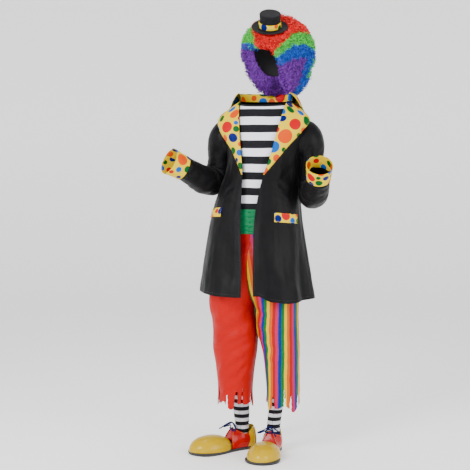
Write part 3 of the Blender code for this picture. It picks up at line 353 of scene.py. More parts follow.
def cloth(name, surface, across, along, wall, closed=False, fields=(), uv=None, node=None):
    """A visible cloth piece: grid, optional clipping, UVs and thickness."""
    uu, vv, points, metres = grid(surface, across, along, closed)
    if uv is not None:
        metres = uv(uu, vv, points)
    rows, cols = uu.shape
    wide = np.linalg.norm(np.diff(points, axis=1), axis=2).sum(axis=1).max()
    long = np.linalg.norm(np.diff(points, axis=0), axis=2).sum(axis=0).max()
    verts = points.reshape(-1, 3)
    index = np.arange(rows * cols).reshape(rows, cols)
    a, b, c, d = index[:-1, :-1], index[:-1, 1:], index[1:, 1:], index[1:, :-1]
    quads = np.stack([a, b, c, d], axis=-1).reshape(-1, 4)
    extra = np.hstack([metres.reshape(-1, 2), uu.reshape(-1, 1), vv.reshape(-1, 1)])
    normals = unit(np.cross(np.gradient(points, axis=1), np.gradient(points, axis=0))).reshape(-1, 3)
    faces = quads
    if fields:
        tris = np.vstack([quads[:, [0, 1, 2]], quads[:, [0, 2, 3]]])
        extra = np.hstack([extra, normals])
        for field in fields:
            verts, extra, tris = clip(verts, extra, tris, field(verts, extra))
        normals = unit(extra[:, 4:7])
        faces = tris
    used, faces = np.unique(faces, return_inverse=True)
    faces = faces.reshape(-1, quads.shape[1] if not fields else 3)
    verts, extra, normals = verts[used], extra[used], normals[used]
    mesh = bpy.data.meshes.new(name)
    down = np.array([0, 0, FLOOR])
    count = len(verts)
    fan = [(0, k, k + 1) for k in range(1, faces.shape[1] - 1)]
    area = sum(np.linalg.norm(np.cross(verts[faces[:, j]] - verts[faces[:, i]], verts[faces[:, k]] - verts[faces[:, i]]), axis=1).sum() / 2 for i, j, k in fan)
    FLAT[name] = (float(wide), float(long), float(area))
    inner = verts - normals * wall
    # rim: every edge that has one face
    edges = np.vstack([faces[:, [k, (k + 1) % faces.shape[1]]] for k in range(faces.shape[1])])
    seen = {}
    for i, j in edges:
        key = (min(i, j), max(i, j))
        seen[key] = None if key in seen else (i, j)
    rim = [e for e in seen.values() if e is not None]
    all_faces = faces.tolist() + (faces[:, ::-1] + count).tolist() + [(j, i, i + count, j + count) for i, j in rim]
    mesh.from_pydata((np.vstack([verts, inner]) + down).tolist(), [], all_faces)
    both = np.vstack([extra, extra])
    layer = mesh.uv_layers.new(name="metres")
    loops = np.empty(len(mesh.loops), dtype=np.int32)
    mesh.loops.foreach_get("vertex_index", loops)
    layer.data.foreach_set("uv", both[loops, :2].astype(np.float32).ravel())
    mesh.validate()
    if closed:
        bm = bmesh.new()
        bm.from_mesh(mesh)
        bmesh.ops.remove_doubles(bm, verts=bm.verts, dist=2e-5)
        bm.to_mesh(mesh)
        bm.free()
    mesh.shade_smooth()
    mesh.set_sharp_from_angle(angle=math.radians(60))
    return keep(name, mesh, node or name)


def keep(name, mesh, *nodes):
    obj = bpy.data.objects.new(name + "_looks", mesh)
    bpy.context.scene.collection.objects.link(obj)
    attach(obj, "root")
    if nodes and nodes[0]:
        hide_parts(*nodes)
    PIECES[name] = obj
    return obj


print("cloth maker ready")

# %% [markdown]
# ## Sleeves
# A sleeve is a row of rings, fanned round the armpit and bent at the elbow and wrist.
# The coat is clipped where the sleeve passes through it, and the sleeve where the coat is.

# %% Arm rings
Arm = namedtuple("Arm", "side upper upper_length cuff rim")
ARMPIT_HEIGHT, ARMPIT_INSET, ARMPIT_BACK, SHOULDER_LEAN = 1.262, 0.008, 0.022, math.radians(-10)
SLEEVE_HIGH, SLEEVE_DEEP, UPPER_RADIUS, ELBOW_RADIUS, WRIST_RADIUS = 0.079, 0.070, 0.049, 0.058, 0.048
CROOK_GAP, WRIST_GAP, CUFF_DEPTH, CUFF_LAP, CUFF_RADIUS, FAN_STEPS = 0.064, 0.070, 0.070, 0.012, 0.0535, 5
RIGHT_ARM = Arm(-1, Vector((-0.06, 0.10, -1)), 0.036, Vector((-0.62, -0.66, 0.40)), Vector((-0.340, -0.205, 1.249)))
LEFT_ARM = Arm(1, Vector((-0.05, 0.08, -1)), 0.078, Vector((0.20, -0.66, 0.72)), Vector((0.287, -0.190, 1.234)))


def turned(ring, new_heading, gap, steps):
    centre, heading, up, deep = ring
    axis = heading.cross(new_heading).normalized()
    angle = heading.angle(new_heading)
    pivot = centre + axis.cross(heading) * gap
    made = []
    for k in range(1, steps + 1):
        turn = Matrix.Rotation(angle * k / steps, 3, axis)
        made.append((pivot + turn @ (centre - pivot), turn @ heading, turn @ up, turn @ deep))
    return made


def forearm_line(arm, upper_end):
    upper, cuff = arm.upper.normalized(), arm.cuff.normalized()
    cuff_start = arm.rim - cuff * CUFF_DEPTH
    fore = (cuff_start - upper_end).normalized()
    for _ in range(60):
        elbow_end = upper_end + (upper + fore) * CROOK_GAP * math.tan(upper.angle(fore) / 2)
        wrist_start = cuff_start - (fore + cuff) * WRIST_GAP * math.tan(fore.angle(cuff) / 2)
        fore = (fore * 2 + (wrist_start - elbow_end).normalized()).normalized()
    return fore, elbow_end, wrist_start


def arm_rings(arm):
    """Rings down a sleeve, each (centre, up, deep, up radius, deep radius)."""
    half_width = float(column(COAT, "half_width", ARMPIT_HEIGHT))
    armpit_x = float(column(COAT, "centre_x", ARMPIT_HEIGHT)) + arm.side * (half_width - ARMPIT_INSET)
    armpit = Vector((armpit_x, ARMPIT_BACK, ARMPIT_HEIGHT))
    heading = Vector((arm.side * math.cos(SHOULDER_LEAN), 0, math.sin(SHOULDER_LEAN)))
    upper = arm.upper.normalized()
    deep = heading.cross(upper).normalized()
    up = deep.cross(heading) * -1
    rings = []

    def add(ring, up_radius, deep_radius):
        rings.append((ring[0], ring[2], ring[3], up_radius, deep_radius))

    first = armpit + up * (SLEEVE_HIGH + 0.004)
    add((first - heading * 0.05, heading, up, deep), SLEEVE_HIGH, SLEEVE_DEEP)
    for k in range(FAN_STEPS + 1):
        share = k / FAN_STEPS
        turn = Matrix.Rotation(heading.angle(upper) * share, 3, deep)
        high = mix(SLEEVE_HIGH, UPPER_RADIUS, float(ease(share)))
        wide = mix(SLEEVE_DEEP, UPPER_RADIUS + 0.008, float(ease(share)))
        ring = (armpit + turn @ up * (high + 0.004), turn @ heading, turn @ up, deep)
        add(ring, high, wide)
    start = ring[0]
    upper_end = start + upper * arm.upper_length
    for share in (0.5, 1.0):
        ring = (start.lerp(upper_end, share), upper, ring[2], deep)
        radius = mix(UPPER_RADIUS, ELBOW_RADIUS - 0.003, share)
        add(ring, radius, radius + 0.008 * (1 - share))
    fore, elbow_end, wrist_start = forearm_line(arm, upper_end)
    for ring in turned(ring, fore, CROOK_GAP, 5):
        add(ring, ELBOW_RADIUS, ELBOW_RADIUS)
    for share in (0.34, 0.67, 1.0):
        radius = mix(ELBOW_RADIUS, WRIST_RADIUS, share)
        ring = (elbow_end.lerp(wrist_start, share), fore, ring[2], ring[3])
        add(ring, radius, radius)
    for ring in turned(ring, arm.cuff.normalized(), WRIST_GAP, 2):
        add(ring, WRIST_RADIUS, WRIST_RADIUS)
    ring = (ring[0] + ring[1] * CUFF_LAP, *ring[1:])
    add(ring, WRIST_RADIUS, WRIST_RADIUS)
    return rings


def smooth_rings(arm):
    """Arrays of the rings' centres, directions and radii, for reading on cubic curves."""
    rings = arm_rings(arm)
    table = np.array([[*r[0], *r[1], *r[2], r[3], r[4]] for r in rings])
    return table


def ring_surface(table, place, angle, extra=0.0):
    last = len(table) - 1
    place = np.clip(place, 0, last - 1e-6)
    k = place.astype(int)
    t = (place - k)[..., None]
    p0, p1 = table[np.maximum(k - 1, 0)], table[k]
    p2, p3 = table[k + 1], table[np.minimum(k + 2, last)]
    row = 0.5 * (2 * p1 + (p2 - p0) * t + (2 * p0 - 5 * p1 + 4 * p2 - p3) * t**2 + (3 * p1 - p0 - 3 * p2 + p3) * t**3)
    centre, up, deep = row[..., 0:3], row[..., 3:6], row[..., 6:9]
    c, s = np.cos(angle)[..., None], np.sin(angle)[..., None]
    high, wide = row[..., 9:10], row[..., 10:11]
    extra = np.asarray(extra)[..., None] if np.ndim(extra) else extra
    return centre + up * (high + extra) * c + deep * (wide + extra) * s


def clear_of_coat(points, clearance):
    z = points[..., 2]
    cx, cy = column(COAT, "centre_x", z), column(COAT, "centre_y", z)
    x, y = points[..., 0] - cx, points[..., 1] - cy
    angle = np.arctan2(x / column(COAT, "half_width", z), -y / column(COAT, "half_depth", z))
    skin = coat_skin(z, angle)
    reach = np.hypot(skin[..., 0] - cx, skin[..., 1] - cy) + clearance
    held = np.maximum(np.hypot(x, y), 1e-6)
    scale = np.maximum(1.0, reach / held)
    return np.stack([cx + x * scale, cy + y * scale, z], axis=-1)


def sleeve_relief(arm, place, angle):
    """Sharp crescents inside the elbow, long pulls on the upper arm and rings above the cuff."""
    inner = np.cos(angle + math.pi) if arm.side < 0 else np.cos(angle + math.pi)
    elbow = ease((place - 7.4) / 1.6) * ease((13.6 - place) / 1.6)
    crook = np.clip(0.35 + 0.65 * -np.cos(angle), 0, 1)
    phase = place * 2.9 + 0.9 * np.sin(angle * 1.0 + arm.side) + 0.6 * wander(angle * 1.4, place * 0.5, 5)
    relief = 0.0042 * elbow * crook * np.sin(phase)
    upper = ease((place - 2.0) / 2.0) * ease((9.0 - place) / 2.5)
    relief += 0.0026 * upper * np.sin(angle * 3 + place * 0.9 + arm.side * 0.7) * wander(angle, place * 0.35, 7)
    fore = ease((place - 11.5) / 2.0)
    relief += 0.0016 * fore * np.sin(place * 4.2 + 1.5 * np.sin(angle + 1)) * (0.4 + 0.6 * wander(angle * 1.3, place, 3))
    relief += 0.0009 * wander(angle * 4, place * 2, 9)
    calm = ease((18.6 - place) / 1.4)
    return relief * calm - 0.0010 * (1 - calm)


def sleeve(arm):
    table = smooth_rings(arm)
    last = len(table) - 1

    def surface(u, v):
        place = mix(0.15, last, v)
        angle = -arm.side * 2 * math.pi * u
        points = ring_surface(table, place, angle, sleeve_relief(arm, place, angle))
        weight = ease(place - FAN_STEPS - 1.5)[..., None]
        return mix(points, clear_of_coat(points, 0.0030), weight)

    return surface, table


def outside_coat(verts, extra):
    """Positive where a point is outside the coat's skin, for clipping the sleeves."""
    z = verts[:, 2]
    x, y = verts[:, 0] - column(COAT, "centre_x", z), verts[:, 1] - column(COAT, "centre_y", z)
    angle = np.arctan2(x / column(COAT, "half_width", z), -y / column(COAT, "half_depth", z))
    skin = coat_skin(z, angle)
    reach = np.hypot(skin[:, 0] - column(COAT, "centre_x", z), skin[:, 1] - column(COAT, "centre_y", z))
    return np.where(z > COAT_NECK, 1.0, np.hypot(x, y) - reach - 0.0008)


def outside_sleeve(table, side):
    """Positive where a point of the coat is outside the first part of the sleeve's tube."""
    centres = table[: FAN_STEPS + 2]
    first = np.array(centres)

    def field(verts, extra):
        best = np.full(len(verts), 9.0)
        for share in np.linspace(0, FAN_STEPS + 1, 49):
            k = min(int(share), FAN_STEPS)
            row = first[k] + (first[k + 1] - first[k]) * (share - k)
            heading = np.cross(row[3:6], row[6:9])
            local = verts - row[0:3]
            a = local @ row[3:6] / (row[9] - 0.0012)
            b = local @ row[6:9] / (row[10] - 0.0012)
            along = np.abs(local @ heading)
            radial = (np.hypot(a, b) - 1) * row[9]
            near = np.maximum(radial, (along - 0.012) * 1.0)
            best = np.minimum(best, near)
        return np.where(verts[:, 0] * side > 0.0, best, 1.0)

    return field


print("rings in a sleeve", len(arm_rings(RIGHT_ARM)))

# %% [markdown]
# ## Coat and sleeves
# The fronts and back are dense grids with the flutes and creases in them.
# The armholes are clipped out of them where the sleeve heads come through.

# %% Build coat and sleeves
arms = {"right": (RIGHT_ARM, -1), "left": (LEFT_ARM, 1)}
sleeve_tables = {}
for word, (arm, side) in arms.items():
    surface, table = sleeve(arm)
    sleeve_tables[word] = table
    cloth(f"sleeve_{word}", surface, 68, 145, COAT_WALL, closed=True, fields=[outside_coat])
for word, (arm, side) in arms.items():
    hole = outside_sleeve(sleeve_tables[word], side)
    cloth(f"coat_front_{word}", coat_front(side), 60, 145, COAT_WALL, fields=[hole])
holes = [outside_sleeve(sleeve_tables[word], side) for word, (arm, side) in arms.items()]
cloth("coat_back", coat_back, 100, 145, COAT_WALL, fields=holes)
print("coat triangles", sum(len(o.data.loops) for o in PIECES.values()))

# %% [markdown]
# ## Lapels, collar, flaps and cuffs
# The dotted trim lies on the coat and is rolled at its edges.

# %% Trim surfaces


def lapel(side):
    corner_share, corner_height, corner_across = 0.80, 1.402, 0.182
    shoulder_height, shoulder_angle = 1.449, math.radians(83)
    corner_angle = float(angle_across(corner_height, corner_across))
    break_across = abs(float(column(COAT_EDGES, "left" if side > 0 else "right", BREAK_HEIGHT)))

    def surface(u, v):
        v = mix(0.02, 1, v)
        across = u if side > 0 else 1 - u
        roll_height = mix(BREAK_HEIGHT, COAT_NECK - 0.004, v)
        roll = np.abs(edge_angle(side, roll_height))
        t = np.clip((v - corner_share) / (1 - corner_share), 0, 1)
        s = np.clip(v / corner_share, 0, 1)
        low_height = mix(BREAK_HEIGHT, corner_height, s)
        low_angle = angle_across(low_height, mix(break_across, corner_across, s))
        past = v > corner_share
        edge_height = np.where(past, mix(corner_height, shoulder_height, t), low_height)
        edge = np.where(past, mix(corner_angle, shoulder_angle, t), low_angle)
        height, angle = mix(roll_height, edge_height, across), mix(roll, edge, across)
        lift = LAY + TRIM_WALL + 0.003 * np.sin(math.pi * across) + 0.0008 * ease((v - 0.7) / 0.3)
        over = ease((v - 0.35) / 0.35) * (1 - 0.7 * ease((v - 0.85) / 0.15))
        lift = lift + LAPEL_LIFT * ease(across * 1.2) * over
        soft = 0.0016 * wander(across * 2.2, v * 5 + side, 11) * np.sin(math.pi * np.clip(across, 0, 1)) ** 0.7
        roll_edge = 0.0016 * np.exp(-((across / 0.05) ** 2))
        seam_dip = -0.0008 * np.exp(-(((across - 0.93) / 0.018) ** 2))
        return coat_point(height, side * angle, lift + np.maximum(soft, -0.0012) + roll_edge + seam_dip)

    return surface


def spline_points(knots, v):
    last = len(knots) - 1
    place = np.clip(v * last, 0, last - 1e-9)
    k = place.astype(int)
    t = (place - k)[..., None]
    knots = np.stack(knots)
    index = np.arange(len(knots))
    take = lambda i: np.take_along_axis(knots, i[None, ..., None].repeat(3, -1), axis=0)[0]
    p1, p2 = take(k), take(k + 1)
    p0 = np.where((k > 0)[..., None], take(np.maximum(k - 1, 0)), p1 * 2 - p2)
    p3 = np.where((k + 2 <= last)[..., None], take(np.minimum(k + 2, last)), p2 * 2 - p1)
    return 0.5 * (p1 * 2 + (p2 - p0) * t + (p0 * 2 - p1 * 5 + p2 * 4 - p3) * t**2 + (p1 * 3 - p0 - p2 * 3 + p3) * t**3)


def collar(u, v):
    front = np.radians(mix(68, 86, ease((v - 0.5) / 0.5)))
    angle = mix(front, 2 * math.pi - front, u)
    rear = 0.5 - 0.5 * np.cos(2 * (np.clip(angle, SIDE, 3 * SIDE) - SIDE))
    away = stack(np.sin(angle), -np.cos(angle), 0)
    up = np.array([0, 0, 1.0])
    base = coat_skin(np.full_like(angle, COAT_NECK), angle) + up * (SEAM + 0.0001)
    hem = coat_point(mix(1.450, 1.420, rear), angle, np.full_like(angle, LAY + 0.0004))
    crown = base + up * 0.032 + away * 0.008
    shoulder = mix(crown, hem, 0.34) + away * 0.004 + up * 0.003
    knots = [base, base + up * 0.020 + away * 0.001, crown, shoulder, hem]
    soft = 0.0012 * wander(angle * 2.5, v * 3, 4) * np.sin(math.pi * v)
    return spline_points(knots, v) + away * (soft + 0.0008 * np.exp(-(((v - 0.97) / 0.03) ** 2)))[..., None]


def pocket_flap(side):
    angles = (math.radians(32), math.radians(74)) if side > 0 else (math.radians(37), math.radians(81))
    top = 1.034 if side > 0 else 1.052

    def surface(u, v):
        across = u if side > 0 else 1 - u
        angle = side * mix(*angles, across)
        height = top - 0.038 * (1 - v) - 0.010 * (across - 0.5)
        lift = LAY + TRIM_WALL + 0.0015 * (1 - v) + 0.0009 * np.maximum(wander(across * 3, v * 2, side), -0.5)
        relief = coat_relief(height, angle)
        return coat_point(height, angle, lift + relief)

    return surface


def cuff(arm):
    direction = np.array(arm.cuff.normalized())
    end_ring = arm_rings(arm)[-1]
    up, deep = np.array(end_ring[1]), np.array(end_ring[2])
    start = np.array(arm.rim) - direction * CUFF_DEPTH

    def surface(u, v):
        angle = -arm.side * 2 * math.pi * u
        centre = start + v[..., None] * CUFF_DEPTH * direction
        radius = mix(WRIST_RADIUS + TRIM_WALL + 0.0005, CUFF_RADIUS, ease((v - 0.2) * 1.6))
        radius = radius + 0.0016 * np.maximum(wander(angle * 1.5, v * 2, 6 + arm.side), -0.2) * ease(v * 3)
        radius = radius + 0.0012 * np.exp(-(((v - 0.97) / 0.04) ** 2))
        return centre + (up * np.cos(angle)[..., None] + deep * np.sin(angle)[..., None]) * radius[..., None]

    return surface


for word, (arm, side) in arms.items():
    cloth(f"lapel_{word}", lapel(side), 36, 90, TRIM_WALL)
    cloth(f"pocket_flap_{word}", pocket_flap(side), 36, 16, TRIM_WALL)
    cloth(f"cuff_{word}", cuff(arm), 80, 24, TRIM_WALL, closed=True)
cloth("collar", collar, 120, 36, TRIM_WALL)
print("trim pieces", len(PIECES))

# %% [markdown]
# ## Shirt front, neckband and sash
# The shirt front hangs under the coat and goes in under the sash. The sash is gathered in
# flat, uneven wrinkles that run round the waist.

# %% Shirt and sash
SHIRT_HALF_ANGLE, SHIRT_BOTTOM, SASH_LOW, SASH_HIGH = math.radians(74), 1.030, 0.948, 1.050
SHIRT_CREASES = [
    Crease(-0.30, 1.400, 0.35, 1.385, 0.016, -0.0020),
    Crease(-0.35, 1.330, 0.25, 1.300, 0.018, -0.0022),
    Crease(-0.20, 1.250, 0.45, 1.275, 0.020, 0.0020),
    Crease(-0.45, 1.180, 0.10, 1.155, 0.016, -0.0024),
    Crease(-0.30, 1.110, 0.40, 1.130, 0.016, 0.0022),
    Crease(-0.15, 1.075, 0.30, 1.060, 0.010, -0.0018),
    Crease(0.05, 1.460, 0.10, 1.300, 0.030, -0.0014),
]


def waist_point(height, angle, out):
    p = 2 / 2.1
    x = -0.022 + (0.151 + out) * power(np.sin(angle), p)
    y = -(0.113 + out) * power(np.cos(angle), p)
    return stack(x, y, height)


def shirt_point(height, angle):
    inset = COAT_WALL + LAY + 0.0010 + 0.009 * ease((1.47 - height) / 0.10) + 0.0012 * ease((height - 1.45) / 0.03)
    high = coat_point(height, angle, -inset)
    low = waist_point(height, angle, -0.008 * ease((height - 1.06) / 0.08))
    low[..., 0] += (column(COAT, "centre_x", height) + 0.022) * ease((height - 1.065) / 0.06)
    return mix(high, low, ease((1.33 - height) / 0.25)[..., None])


def shirt_top(angle):
    return 1.4745 + 0.0185 * (1 - np.cos(angle))


def pushed(surface, amount):
    """The surface with an amount(u, v) of relief along its own normal."""

    def moved(u, v):
        points = surface(u, v)
        normals = unit(np.cross(np.gradient(points, axis=1), np.gradient(points, axis=0)))
        return points + normals * np.asarray(amount(u, v))[..., None]

    return moved


def shirt_plain(u, v):
    angle = mix(-SHIRT_HALF_ANGLE, SHIRT_HALF_ANGLE, u)
    return shirt_point(mix(SHIRT_BOTTOM, shirt_top(angle), v), angle)


def shirt_folds(u, v):
    angle = mix(-SHIRT_HALF_ANGLE, SHIRT_HALF_ANGLE, u)
    height = mix(SHIRT_BOTTOM, shirt_top(angle), v)
    rows = [r._replace(a0=r.a0 * 0.15, a1=r.a1 * 0.15) for r in SHIRT_CREASES]
    relief = creases(angle * 0.15, height, rows) + 0.0008 * wander(angle * 2.5, height * 9, 3)
    open_part = ease((1.1 - np.abs(angle)) / 0.25) * ease((1 - v) / 0.05) * ease((height - 1.05) / 0.03)
    return np.minimum(relief, 0.0022) * open_part


def neckband_plain(u, v):
    angle = mix(-SHIRT_HALF_ANGLE, SHIRT_HALF_ANGLE, u)
    return shirt_point(shirt_top(angle) + SEAM + 0.0070 * v, angle)


def sash_plain(u, v):
    height = mix(SASH_LOW, SASH_HIGH, v)
    return waist_point(height, 2 * math.pi * u, LAY + 0.0016)


def sash_folds(u, v):
    angle = 2 * math.pi * u
    drift = v + 0.030 * np.sin(angle * 2 + 1) + 0.020 * np.sin(angle * 5 + v * 6) + 0.012 * np.sin(angle * 11)
    ridges = 0.5 + 0.5 * np.sin(2 * math.pi * 5.5 * drift)
    fine = 0.5 + 0.5 * np.sin(2 * math.pi * 13 * drift + 2 * np.sin(angle * 3))
    strength = 0.55 + 0.45 * wander(angle * 2.4, v * 5, 8)
    ends = ease(v / 0.04) * ease((1 - v) / 0.04)
    return (0.0028 * ridges**1.6 * strength + 0.0009 * fine) * ends


cloth("shirt_front", pushed(shirt_plain, shirt_folds), 72, 96, SHIRT_WALL)
band_bulge = lambda u, v: 0.0009 * np.sin(math.pi * v)
cloth("shirt_neckband", pushed(neckband_plain, band_bulge), 72, 5, SHIRT_WALL)
cloth("waist_sash", pushed(sash_plain, sash_folds), 150, 56, 0.0016, closed=True)
print("shirt and sash built")

# %% [markdown]
# ## Trousers
# Each leg is a front and a back panel. The hem is ripped: every rip is a slit that runs up
# between two strips, and the strips curl a little.

# %% Trouser surfaces
HEM_HEIGHT, TROUSER_TOP = 0.212, 1.012
RED_CREASES = [
    Crease(0.10, 0.640, 0.36, 0.560, 0.016, 0.0050),
    Crease(0.08, 0.600, 0.34, 0.500, 0.016, -0.0042),
    Crease(0.12, 0.560, 0.40, 0.440, 0.018, 0.0050),
    Crease(0.06, 0.500, 0.30, 0.400, 0.014, -0.0036),
    Crease(0.14, 0.440, 0.40, 0.340, 0.018, 0.0042),
    Crease(0.08, 0.380, 0.30, 0.310, 0.014, -0.0034),
    Crease(0.20, 0.330, 0.36, 0.270, 0.012, 0.0028),
    Crease(0.30, 0.700, 0.42, 0.560, 0.022, -0.0040),
    Crease(0.60, 0.560, 0.86, 0.500, 0.018, 0.0042),
    Crease(0.58, 0.500, 0.84, 0.430, 0.016, -0.0036),
    Crease(0.62, 0.430, 0.90, 0.370, 0.018, 0.0040),
    Crease(0.60, 0.350, 0.80, 0.300, 0.014, -0.0030),
]
RAINBOW_CREASES = [
    Crease(0.06, 0.640, 0.30, 0.610, 0.014, -0.0040),
    Crease(0.10, 0.590, 0.34, 0.530, 0.018, 0.0040),
    Crease(0.12, 0.480, 0.38, 0.450, 0.016, -0.0034),
    Crease(0.16, 0.430, 0.36, 0.380, 0.016, 0.0036),
    Crease(0.20, 0.360, 0.40, 0.330, 0.014, -0.0028),
    Crease(0.30, 0.620, 0.34, 0.300, 0.030, 0.0030),
    Crease(0.58, 0.560, 0.86, 0.500, 0.018, 0.0042),
    Crease(0.60, 0.480, 0.86, 0.410, 0.016, -0.0036),
    Crease(0.62, 0.400, 0.88, 0.350, 0.018, 0.0040),
]


def leg_angle(side, height, share):
    """The legs meet along the middle line, so near it their rings start and end later."""
    table = LEFT_LEG if side > 0 else RIGHT_LEG
    middle = column(MIDDLE_LINE, "x", height) + side * SEAM / 2
    reach = side * (column(table, "centre", height) - middle) / column(table, "half_width", height)
    start = np.where(reach < 1, np.arccos(np.clip(reach, -0.3, 1)), 0.0)
    return mix(start, 2 * math.pi - start, share)


def leg_point(side, height, share):
    table = LEFT_LEG if side > 0 else RIGHT_LEG
    centre, centre_y = column(table, "centre", height), column(table, "centre_y", height)
    half_width, half_depth = column(table, "half_width", height), column(table, "half_depth", height)
    angle = leg_angle(side, height, share)
    leg = stack(centre - side * half_width * np.cos(angle), centre_y - half_depth * np.sin(angle), height)
    waist = waist_point(height, side * math.pi * share, 0.0)
    waist[..., 0] += side * SEAM / 2 * np.cos(math.pi * share) ** 2
    return mix(leg, waist, ease((height - 0.86) / 0.05)[..., None])


def panel_share(side, front, u):
    trim = SEAM / 2 / 0.55
    start, end = (trim, 0.5 - trim) if front else (0.5 + trim, 1 - trim)
    return mix(start, end, u if side > 0 else 1 - u)


def panel_height(side, share, v):
    height = mix(HEM_HEIGHT, TROUSER_TOP, v)
    turns = 2 * math.pi * share
    ragged = 0.010 * np.sin(4 * turns + side) + 0.007 * np.sin(7 * turns)
    return height + ragged * (1 - ease(v * 6))


def rip_list(side):
    """Where each rip is round the hem, its top, its half width at the hem and its slant."""
    made = []
    for k in range(12):
        share = (k + 0.5 + 0.22 * math.sin(2.3 * k + side)) / 12
        depth = 0.068 + 0.022 * math.sin(4.1 * k + 2 * side)
        width = 0.0075 + 0.0035 * math.sin(3.7 * k + 1)
        made.append((share, HEM_HEIGHT + depth, width, 0.006 * math.sin(5.3 * k)))
    return made


def leg_surface(side, front):
    rows = RED_CREASES if side < 0 else RAINBOW_CREASES
    rows = [r._replace(a0=r.a0 * 0.55, a1=r.a1 * 0.55) for r in rows]

    def plain(u, v):
        share = panel_share(side, front, u)
        return leg_point(side, panel_height(side, share, v), share)

    def folds(u, v):
        share = panel_share(side, front, u)
        height = panel_height(side, share, v)
        free = ease((0.80 - height) / 0.12) * ease(share * 9) * ease((1 - share) * 9)
        relief = creases(share * 0.55, height, rows) * mix(0.25, 1, free)
        relief += (0.0006 + 0.0010 * free) * wander(share * 9, height * 11, 13 + side)
        strips = 0.0
        rips = rip_list(side)
        edges = [rips[-1][0] - 1] + [r[0] for r in rips] + [rips[0][0] + 1]
        for k in range(len(edges) - 1):
            low, high = edges[k], edges[k + 1]
            t = np.clip((share - low) / (high - low), 0, 1)
            on = (share >= low) & (share < high)
            curl = math.sin(2.9 * k + side) * 0.006 + 0.001
            strips = strips + on * np.sin(math.pi * t) * curl
            strips = strips + on * (t - 0.5) * math.sin(4.7 * k + 2 * side) * 0.008
        down = ease((HEM_HEIGHT + 0.070 - height) / 0.08)
        seam = -0.0010 * np.exp(-((np.minimum(u, 1 - u) * 0.26 / 0.004) ** 2))
        return relief + strips * down * 0.8 + seam

    return pushed(plain, folds)


def leg_plain(side, front):
    """The panel without its folds, a little outside them, for the rows of stitches."""

    def surface(u, v):
        share = panel_share(side, front, u)
        return leg_point(side, panel_height(side, share, v), share)

    return surface


def ripped(side):
    """Positive where the cloth is whole; each rip has wandering, slightly frayed edges."""

    def field(verts, extra):
        share, height = extra[:, 2], verts[:, 2]
        front = extra[:, 4 - 4 + 2] * 0
        best = np.full(len(verts), 0.02)
        reach = leg_share[side](extra)
        for k, (at, top, half, slant) in enumerate(rip_list(side)):
            t = np.clip((height - HEM_HEIGHT + 0.02) / (top - HEM_HEIGHT + 0.02), 0, 1)
            off = (reach - at) * 0.47 - slant * t
            off = off + 0.0012 * np.sin(height * 260 + k) + 0.0006 * np.sin(height * 690 + 2 * k)
            width = mix(half, half * 0.32, t)
            beyond = np.maximum(0, height - top + 0.006)
            best = np.minimum(best, np.hypot(np.maximum(np.abs(off), 0), beyond * 0.9) - width * (beyond < 0.02))
        return best

    return field


leg_share = {}
STRIPE_ARC = {}


def trouser_uv(side, front):
    """Metres round the leg from its outer seam, and metres up: the stripes run beside that seam."""

    def uv(uu, vv, points):
        share, height = panel_share(side, front, uu), points[..., 2]
        table = LEFT_LEG if side > 0 else RIGHT_LEG
        wide, deep = column(table, "half_width", height), column(table, "half_depth", height)
        ring = math.pi * (3 * (wide + deep) - np.sqrt((3 * wide + deep) * (wide + 3 * deep)))
        return np.stack([(leg_angle(side, height, share) / (2 * math.pi) - 0.5) * ring, height], axis=2)

    return uv


for side, word in ((-1, "right"), (1, "left")):
    for front, name in ((True, "front"), (False, "back")):
        leg_share[side] = lambda extra, s=side, f=front: panel_share(s, f, extra[:, 2])
        surface = leg_surface(side, front)
        uv = trouser_uv(side, front)
        cloth(f"trouser_{name}_{word}", surface, 56, 150, TROUSER_WALL, fields=[ripped(side)], uv=uv)
print("trouser panels", sum(1 for n in PIECES if n.startswith("trouser")))

# %% [markdown]
# ## Shaders
# One small class wraps the shader sockets, so that patterns can be written as sums and
# comparisons. Every pattern is read from the piece's own UV map, in metres.

# %% Shader helpers


class Sock:
    """A number flowing through a material's nodes."""

    def __init__(self, tree, out):
        self.tree, self.out = tree, out

    def _math(self, operation, *others):
        node = self.tree.nodes.new("ShaderNodeMath")
        node.operation = operation
        for k, value in enumerate((self, *others)):
            if isinstance(value, Sock):
                self.tree.links.new(value.out, node.inputs[k])
            else:
                node.inputs[k].default_value = value
        return Sock(self.tree, node.outputs[0])

    def __add__(self, other):
        return self._math("ADD", other)

    def __sub__(self, other):
        return self._math("SUBTRACT", other)

    def __mul__(self, other):
        return self._math("MULTIPLY", other)

    def __truediv__(self, other):
        return self._math("DIVIDE", other)

    def __lt__(self, other):
        return self._math("LESS_THAN", other)

    def __gt__(self, other):
        return self._math("GREATER_THAN", other)

    def wave(self):
        return self._math("SINE")

    def part(self):
        return self._math("FRACT")

    def size(self):
        return self._math("ABSOLUTE")

    def power(self, exponent):
        return self._math("POWER", exponent)

    def at_most(self, other):
        return self._math("MINIMUM", other)

    def at_least(self, other):
        return self._math("MAXIMUM", other)

    def clamped(self):
        node = self.tree.nodes.new("ShaderNodeClamp")
        self.tree.links.new(self.out, node.inputs[0])
        return Sock(self.tree, node.outputs[0])


